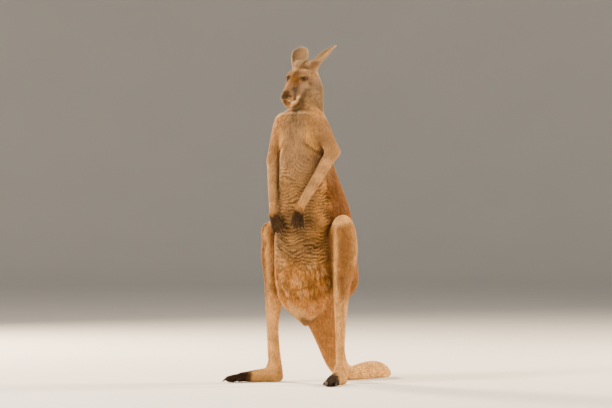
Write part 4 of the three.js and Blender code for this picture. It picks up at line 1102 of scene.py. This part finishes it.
def addEye(name, side):
    # a sphere round its gaze, with the cornea raised by bulge * (1 - (r / cornea)^2)^2 in the middle
    polar = np.linspace(0, math.pi, eyeball["rings"])[1:-1]
    round_ = np.linspace(0, 2 * math.pi, eyeball["sides"], endpoint=False)
    a, b = np.meshgrid(polar, round_, indexing="ij")
    radius = head["eyeRadius"]
    off = np.sin(a) * radius
    lift = eyeball["bulge"] * np.clip(1 - (off / eyeball["cornea"]) ** 2, 0, 1) ** 2 * (a < 1.5)
    r = radius + lift
    local = np.stack([r * np.sin(a) * np.cos(b), r * np.sin(a) * np.sin(b), r * np.cos(a)], -1).reshape(-1, 3)
    local = np.concatenate([local, [[0, 0, radius + eyeball["bulge"]], [0, 0, -radius]]])
    ringPlace = np.concatenate([off.ravel() / eyeball["iris"] * 0.85, [0, 2]])
    ringPlace[np.concatenate([(a > 1.5).ravel(), [False, True]])] = 2
    inHead = (local @ eyeAxes + vec(*head["eye"])) * vec(side, 1, 1)
    corners = head["eyeLine"] + inHead @ headFrame
    quads, caps = ringFaces(len(polar), eyeball["sides"])
    if side < 0:
        quads, caps = quads[:, ::-1], caps[:, ::-1]
    piece = addPiece(name, toModel(corners), [quads, caps], values={"iris": np.clip(ringPlace, 0, 1)})
    piece.data.materials.append(eyeMaterial)
    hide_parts(name.replace("eyeball", "eye"))


addEye("eyeball_left", 1)
addEye("eyeball_right", -1)
print("eyes made")


# claws

claws = {
    "finger": {"length": 19, "radius": 3.4, "droop": 0.3, "flat": 0.75},
    "fourth": {"length": 29, "radius": 6.6, "droop": 0.16, "flat": 0.85},
    "fifth": {"length": 18, "radius": 4.7, "droop": 0.2, "flat": 0.85},
    "second": {"length": 11, "radius": 2.6, "droop": 0.2, "flat": 0.85},
    "third": {"length": 11, "radius": 2.6, "droop": 0.2, "flat": 0.85},
    "rings": 16, "sides": 18, "root": 9,
}


def addClaw(name, kind, place, aim, down):
    # a cone whose half thickness falls as 1 - u^1.6, u being 0 a quarter of the way along and 1 at the tip,
    # bent along a parabola towards the ground or the palm
    look = claws[kind]
    t = np.linspace(0, 1, claws["rings"])
    length = look["length"] + claws["root"]
    aim, down = unit(aim), unit(down)
    down = unit(down - aim * (down @ aim))
    across = np.cross(aim, down)
    spine = place - claws["root"] * aim + length * (t[:, None] * aim + look["droop"] * (t[:, None] ** 2) * down)
    thick = look["radius"] * np.minimum(1, 0.9 + t) * (1 - np.clip((t - 0.25) / 0.75, 0, 1) ** 1.6) + 0.15
    b = np.linspace(0, 2 * math.pi, claws["sides"], endpoint=False)
    keel = 1 + 0.12 * np.cos(b) - 0.1 * np.cos(2 * b)
    ring = np.cos(b)[:, None] * -down + np.sin(b)[:, None] * across * look["flat"]
    corners = spine[:, None] + thick[:, None, None] * (ring * keel[:, None])[None]
    corners = np.concatenate([corners.reshape(-1, 3), spine[:1], spine[-1:] + 0.3 * aim])
    quads, caps = ringFaces(len(t), claws["sides"])
    a, c, d = (corners[quads[:, n]] for n in (0, 1, 2))
    if (np.cross(c - a, d - a) * (a - corners.mean(0))).sum() < 0:
        quads, caps = quads[:, ::-1], caps[:, ::-1]
    piece = addPiece(name, toModel(corners.astype(np.float32)), [quads, caps])
    piece.data.materials.append(hornMaterial)
    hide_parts(name.replace("horn_", ""))


for sideName, leg in legs.items():
    forward, out = legAxes(leg)
    ground = leg["ankle"] * vec(1, 1, 0)
    toes = {"fourth": ((214, 2, 18), (1, -0.01, -0.32)), "fifth": ((183, 31, 13), (1, 0.18, -0.34)),
            "second": ((174, -26, 12), (1, -0.06, -0.34)), "third": ((174, -18, 12), (1, -0.06, -0.34))}
    for toe, (place, aim) in toes.items():
        at = ground + place[0] * forward + place[1] * out + place[2] * up
        addClaw(f"horn_toe_claw_{sideName}_{toe}", toe, at, aim[0] * forward + aim[1] * out + aim[2] * up, -up)
for sideName, arm in arms.items():
    outward, fingers = handPlan(arm)[1], handPlan(arm)[4]
    for number, (root, tip) in enumerate(fingers, 1):
        addClaw(f"horn_finger_claw_{sideName}_{number}", "finger", tip, tip - root, -outward)
print("claws made")


# the coat: thin closed tufts that lie along the skin and overlap

pieces = {   # which tufts go into which piece: the parts, and a test on their places
    "coat_head": ("head",), "coat_ears": ("earLeft", "earRight"), "coat_hands": ("handLeft", "handRight"),
    "coat_feet": ("footLeft", "footRight"), "coat_arms": ("armLeft", "armRight"), "coat_tail": ("tail",),
    "coat_leg_left": ("legLeft",), "coat_leg_right": ("legRight",),
}
trunkBands = [230, 620, 860, 1400]   # heights where the trunk's coat is parted into pieces
frontAngle, thighFoot = 1.45, 500   # where its front ends, and the height where a leg's coat is parted
fineParts = ("foot", "hand", "head", "ear")   # where a tuft is a single small blade


def coatForm(p):   # the level that the tips of the coat reach
    parts = partForms(p)
    return wholeForm(p, parts) + 0.85 * relief(p, parts)


def chooseRoots():   # evenly over the skin: the number of roots in a triangle is its area / spacing^2
    triangles = np.concatenate([skinFaces[:, [0, 1, 2]], skinFaces[:, [0, 2, 3]]])
    order = np.argsort(np.concatenate([np.arange(len(skinFaces))] * 2), kind="stable")
    triangles = triangles[order]
    a, b, c = (skinCorners[triangles[:, i]] for i in range(3))
    area = np.linalg.norm(np.cross(b - a, c - a), axis=1) / 2
    # closer over the ripples, where tufts are short
    crowd = 1 - tuft["crowd"] * np.clip(wrinkles(skinCorners, skinWeights)[1], 0, 1)
    spacing = skinWeights[triangles].mean(1) @ coatTable[:, 2] * crowd[triangles].mean(1)
    wanted = area / spacing**2 * (bare[triangles].mean(1) < 0.5)
    total = np.cumsum(wanted)
    count = int(total[-1])
    at = (np.arange(count) + draw.random(count)) * total[-1] / count
    t = np.searchsorted(total, at)
    s, r = np.sqrt(draw.random(count))[:, None], draw.random(count)[:, None]
    return ((1 - s) * a[t] + s * (1 - r) * b[t] + s * r * c[t]).astype(np.float32)


def layCoat():
    roots = chooseRoots()
    count = len(roots)
    parts = partForms(roots)
    weights = partWeights(parts)
    owner = parts.argmin(1)
    depth, length, _, width = (weights @ coatTable).T
    normal = slope(coatForm, roots, 1.5)
    flow = coatFlow(roots, weights)
    flow = unit(flow - normal * (flow * normal).sum(1, keepdims=True))
    side = np.cross(normal, flow)
    lean = draw.normal(0, tuft["scatter"], count)[:, None] + tuft["drift"] * waves(roots, 26, 51)[:, None]
    vary, strength = (tuft["shortest"], tuft["longest"], count), wrinkles(roots, weights)[1]
    length = length * draw.uniform(*vary) * (1 - tuft["rippleCut"] * np.clip(strength, 0, 1))
    width = width * draw.uniform(*vary)
    clump = waves(roots, 22, 52)
    length = length[:, None]
    mid = roots + flow * (length * tuft["middle"]) + side * lean * (length * tuft["middleLean"])
    tip = roots + flow * length + side * lean * (length * tuft["tipLean"])
    fine = np.isin(owner, [i for i, name in enumerate(partNames) if name.startswith(fineParts)])
    loose = draw.random(count)
    midLevel = -depth * np.where(fine, tuft["fineLevel"], tuft["middleLevel"])
    risen = tuft["looseLevel"] * (loose > tuft["looseFrom"])
    tipLevel = depth * (tuft["tipLevel"] + tuft["clumpLevel"] * clump + risen)
    mid = mid - normal * np.clip(coatForm(mid) - midLevel, -9, 9)[:, None]
    tip = tip - normal * np.clip(coatForm(tip) - tipLevel, -12, 12)[:, None]
    return roots, owner, normal, side, mid, tip, width, fine, clump


def tuftColours(mid, tip, clump):   # the markings at the middle and the tip, with each tuft's own tone
    tone = 1 + draw.normal(0, tuft["tone"], len(mid)) + 0.06 * clump
    return [markings(p, partWeights(partForms(p))) * tone[:, None] for p in (mid, tip)]


roots, owner, normal, side, mid, tip, width, fine, clump = layCoat()
midColour, tipColour = tuftColours(mid, tip, clump)
print("coat:", len(roots), "tufts")


def addCoat(name, chosen, small):
    # each tuft is a flat three-sided blade, closed at its root: the sections run along root, middle and tip
    r, n, s, m, t, w = (a[chosen] for a in (roots, normal, side, mid, tip, width[:, None]))
    count = len(r)
    sunk = r - n * tuft["sink"]
    rows = [sunk - s * w * 0.5, sunk + s * w * 0.5, sunk + n * (tuft["sink"] + w * 0.3)]
    if small:
        rows += [t]
        shape = [[0, 1, 2], [0, 2, 3], [2, 1, 3], [1, 0, 3]]
        tone = ((0.7, 0.7, 0.85), (1.06,))
        patch = ((0, 0), (1, 0), (0.5, 0), (0.5, 1))
    else:
        rows += [m - s * w * 0.42, m + s * w * 0.42, m + n * w * 0.26, t]
        shape = [[0, 1, 2], [0, 2, 5, 3], [2, 1, 4, 5], [1, 0, 3, 4], [3, 5, 6], [5, 4, 6], [4, 3, 6]]
        tone = ((0.66, 0.66, 0.78, 0.9, 0.9, 0.96), (1.12,))
        patch = ((0, 0), (1, 0), (0.5, 0), (0.1, 0.5), (0.9, 0.5), (0.5, 0.5), (0.5, 1))
    size = len(rows)
    corners = np.stack(rows, 1).reshape(-1, 3)
    corners[:, 2] = np.maximum(corners[:, 2], coatFloor)   # nothing dips into the ground
    shades = [c[chosen][:, None] * np.array(t)[None, :, None] for c, t in zip((midColour, tipColour), tone)]
    colours = np.concatenate(shades, 1).reshape(-1, 3)
    start = np.arange(count)[:, None] * size
    faces = []
    for sides in (3, 4):
        group = np.array([f for f in shape if len(f) == sides])
        if len(group):
            faces.append((start[:, :, None] + group[None]).reshape(-1, sides))
    spot = np.zeros((count, 2))
    kinds = np.unique(owner[chosen])
    for place, part in enumerate(kinds):   # the parts' own maps stand side by side
        mine = owner[chosen] == part
        u, v = unwrap(r[mine], part)
        u, v = 0.02 + 0.96 * np.clip(u, 0, 1), 0.005 + 0.985 * np.clip(v, 0, 1)
        spot[mine] = np.stack([(place + u) / len(kinds), v], 1)
    uvCorners = (spot[:, None] + 0.003 * np.array(patch)[None]).reshape(-1, 2)
    uv = uvCorners[np.concatenate([f.ravel() for f in faces])]
    piece = addPiece(name, toModel(corners), faces, colours, uv)
    piece.data.materials.append(hairMaterial)
    print(" ", name, count, "tufts,", count * (4 if small else 10), "triangles")


owners = {name: i for i, name in enumerate(partNames)}
for name, group in pieces.items():
    chosen = np.isin(owner, [owners[part] for part in group])
    if name.startswith("coat_leg"):
        high = roots[:, 2] > thighFoot
        addCoat(name.replace("leg", "thigh"), chosen & high, False)
        addCoat(name.replace("leg", "shank"), chosen & ~high, False)
    else:
        addCoat(name, chosen, bool(fine[chosen].all()))
front = np.abs(trunkTurn(roots)) < frontAngle
for low, high, label in zip(trunkBands, trunkBands[1:], ("low", "middle", "high")):
    band = (owner == 0) & (roots[:, 2] >= low) & (roots[:, 2] < high)
    addCoat(f"coat_front_{label}", band & front, False)
    addCoat(f"coat_back_{label}", band & ~front, False)


# floor, camera and light

studio = {"flat": 17, "curve": 6, "wall": 9, "sides": 96}   # metres: a round floor, swept up into a wall


def addFloor():   # a profile of floor, quarter circle and wall, turned round the middle
    b = np.linspace(0, math.pi / 2, 12)
    flat, curve, wall = studio["flat"], studio["curve"], studio["wall"]
    out = np.concatenate([[flat * 0.5], flat + curve * np.sin(b), [flat + curve]])
    high = np.concatenate([[0], curve * (1 - np.cos(b)), [curve + wall]])
    round_ = np.linspace(0, 2 * math.pi, studio["sides"], endpoint=False)
    high = np.repeat(high[:, None], len(round_), 1)
    rings = np.stack([out[:, None] * np.cos(round_), out[:, None] * np.sin(round_), high], -1)
    quads = ringFaces(len(out), studio["sides"])[0]
    mesh = bpy.data.meshes.new("floor")
    mesh.from_pydata(rings.reshape(-1, 3).tolist(), [], quads.tolist() + [list(range(studio["sides"]))])
    mesh.polygons.foreach_set("use_smooth", np.ones(len(mesh.polygons), bool))
    floor = bpy.data.objects.new("floor", mesh)
    bpy.context.collection.objects.link(floor)
    floor.data.materials.append(paintedFloor())


def lookFrom(name, data, place, target):
    item = bpy.data.objects.new(name, data)
    bpy.context.collection.objects.link(item)
    z = unit(np.array(place, float) - np.array(target, float))
    x = unit(np.cross((0, 0, 1), z))
    y = np.cross(z, x)
    item.matrix_world = Matrix([[x[i], y[i], z[i], place[i]] for i in range(3)] + [[0, 0, 0, 1]])
    return item


addFloor()
view = {"azimuth": math.radians(38), "distance": 14.0, "height": 0.77, "lens": 191.5,
        "sensor": 36, "far": 200}
camera = bpy.data.cameras.new("camera")
camera.lens, camera.sensor_width, camera.clip_end = view["lens"], view["sensor"], view["far"]
axis = standPoint / 1000
eyePoint = (axis[0] + view["distance"] * math.sin(view["azimuth"]),
            axis[1] - view["distance"] * math.cos(view["azimuth"]), view["height"])
bpy.context.scene.camera = lookFrom("camera", camera, eyePoint, (axis[0], axis[1], view["height"]))

lights = {   # size in metres, power in watts, place, colour
    "key": (1.8, 1020, (-1.2, -5.6, 4.6), "ffeedb"), "fill": (3.0, 130, (5.6, -2.2, 2.4), "fdf0e2"),
    "rimLeft": (1.4, 1350, (3.4, 4.8, 3.0), "ffe4c0"), "rimRight": (1.4, 1350, (-5.4, 1.0, 3.0), "ffe4c0"),
}
sky = {"colour": "e4e2de", "power": 0.4, "lampAim": (0, -0.1, 0.75)}
for name, (size, power, place, tone) in lights.items():
    lamp = bpy.data.lights.new(name, "AREA")
    lamp.shape, lamp.size, lamp.energy, lamp.color = "DISK", size, power, linear(tone)
    lookFrom(name, lamp, place, sky["lampAim"])
world = bpy.data.worlds.new("studio")
bpy.context.scene.world = world
world.use_nodes = True
world.node_tree.nodes["Background"].inputs["Color"].default_value = rgba(sky["colour"])
world.node_tree.nodes["Background"].inputs["Strength"].default_value = sky["power"]
print("floor, camera and light set")
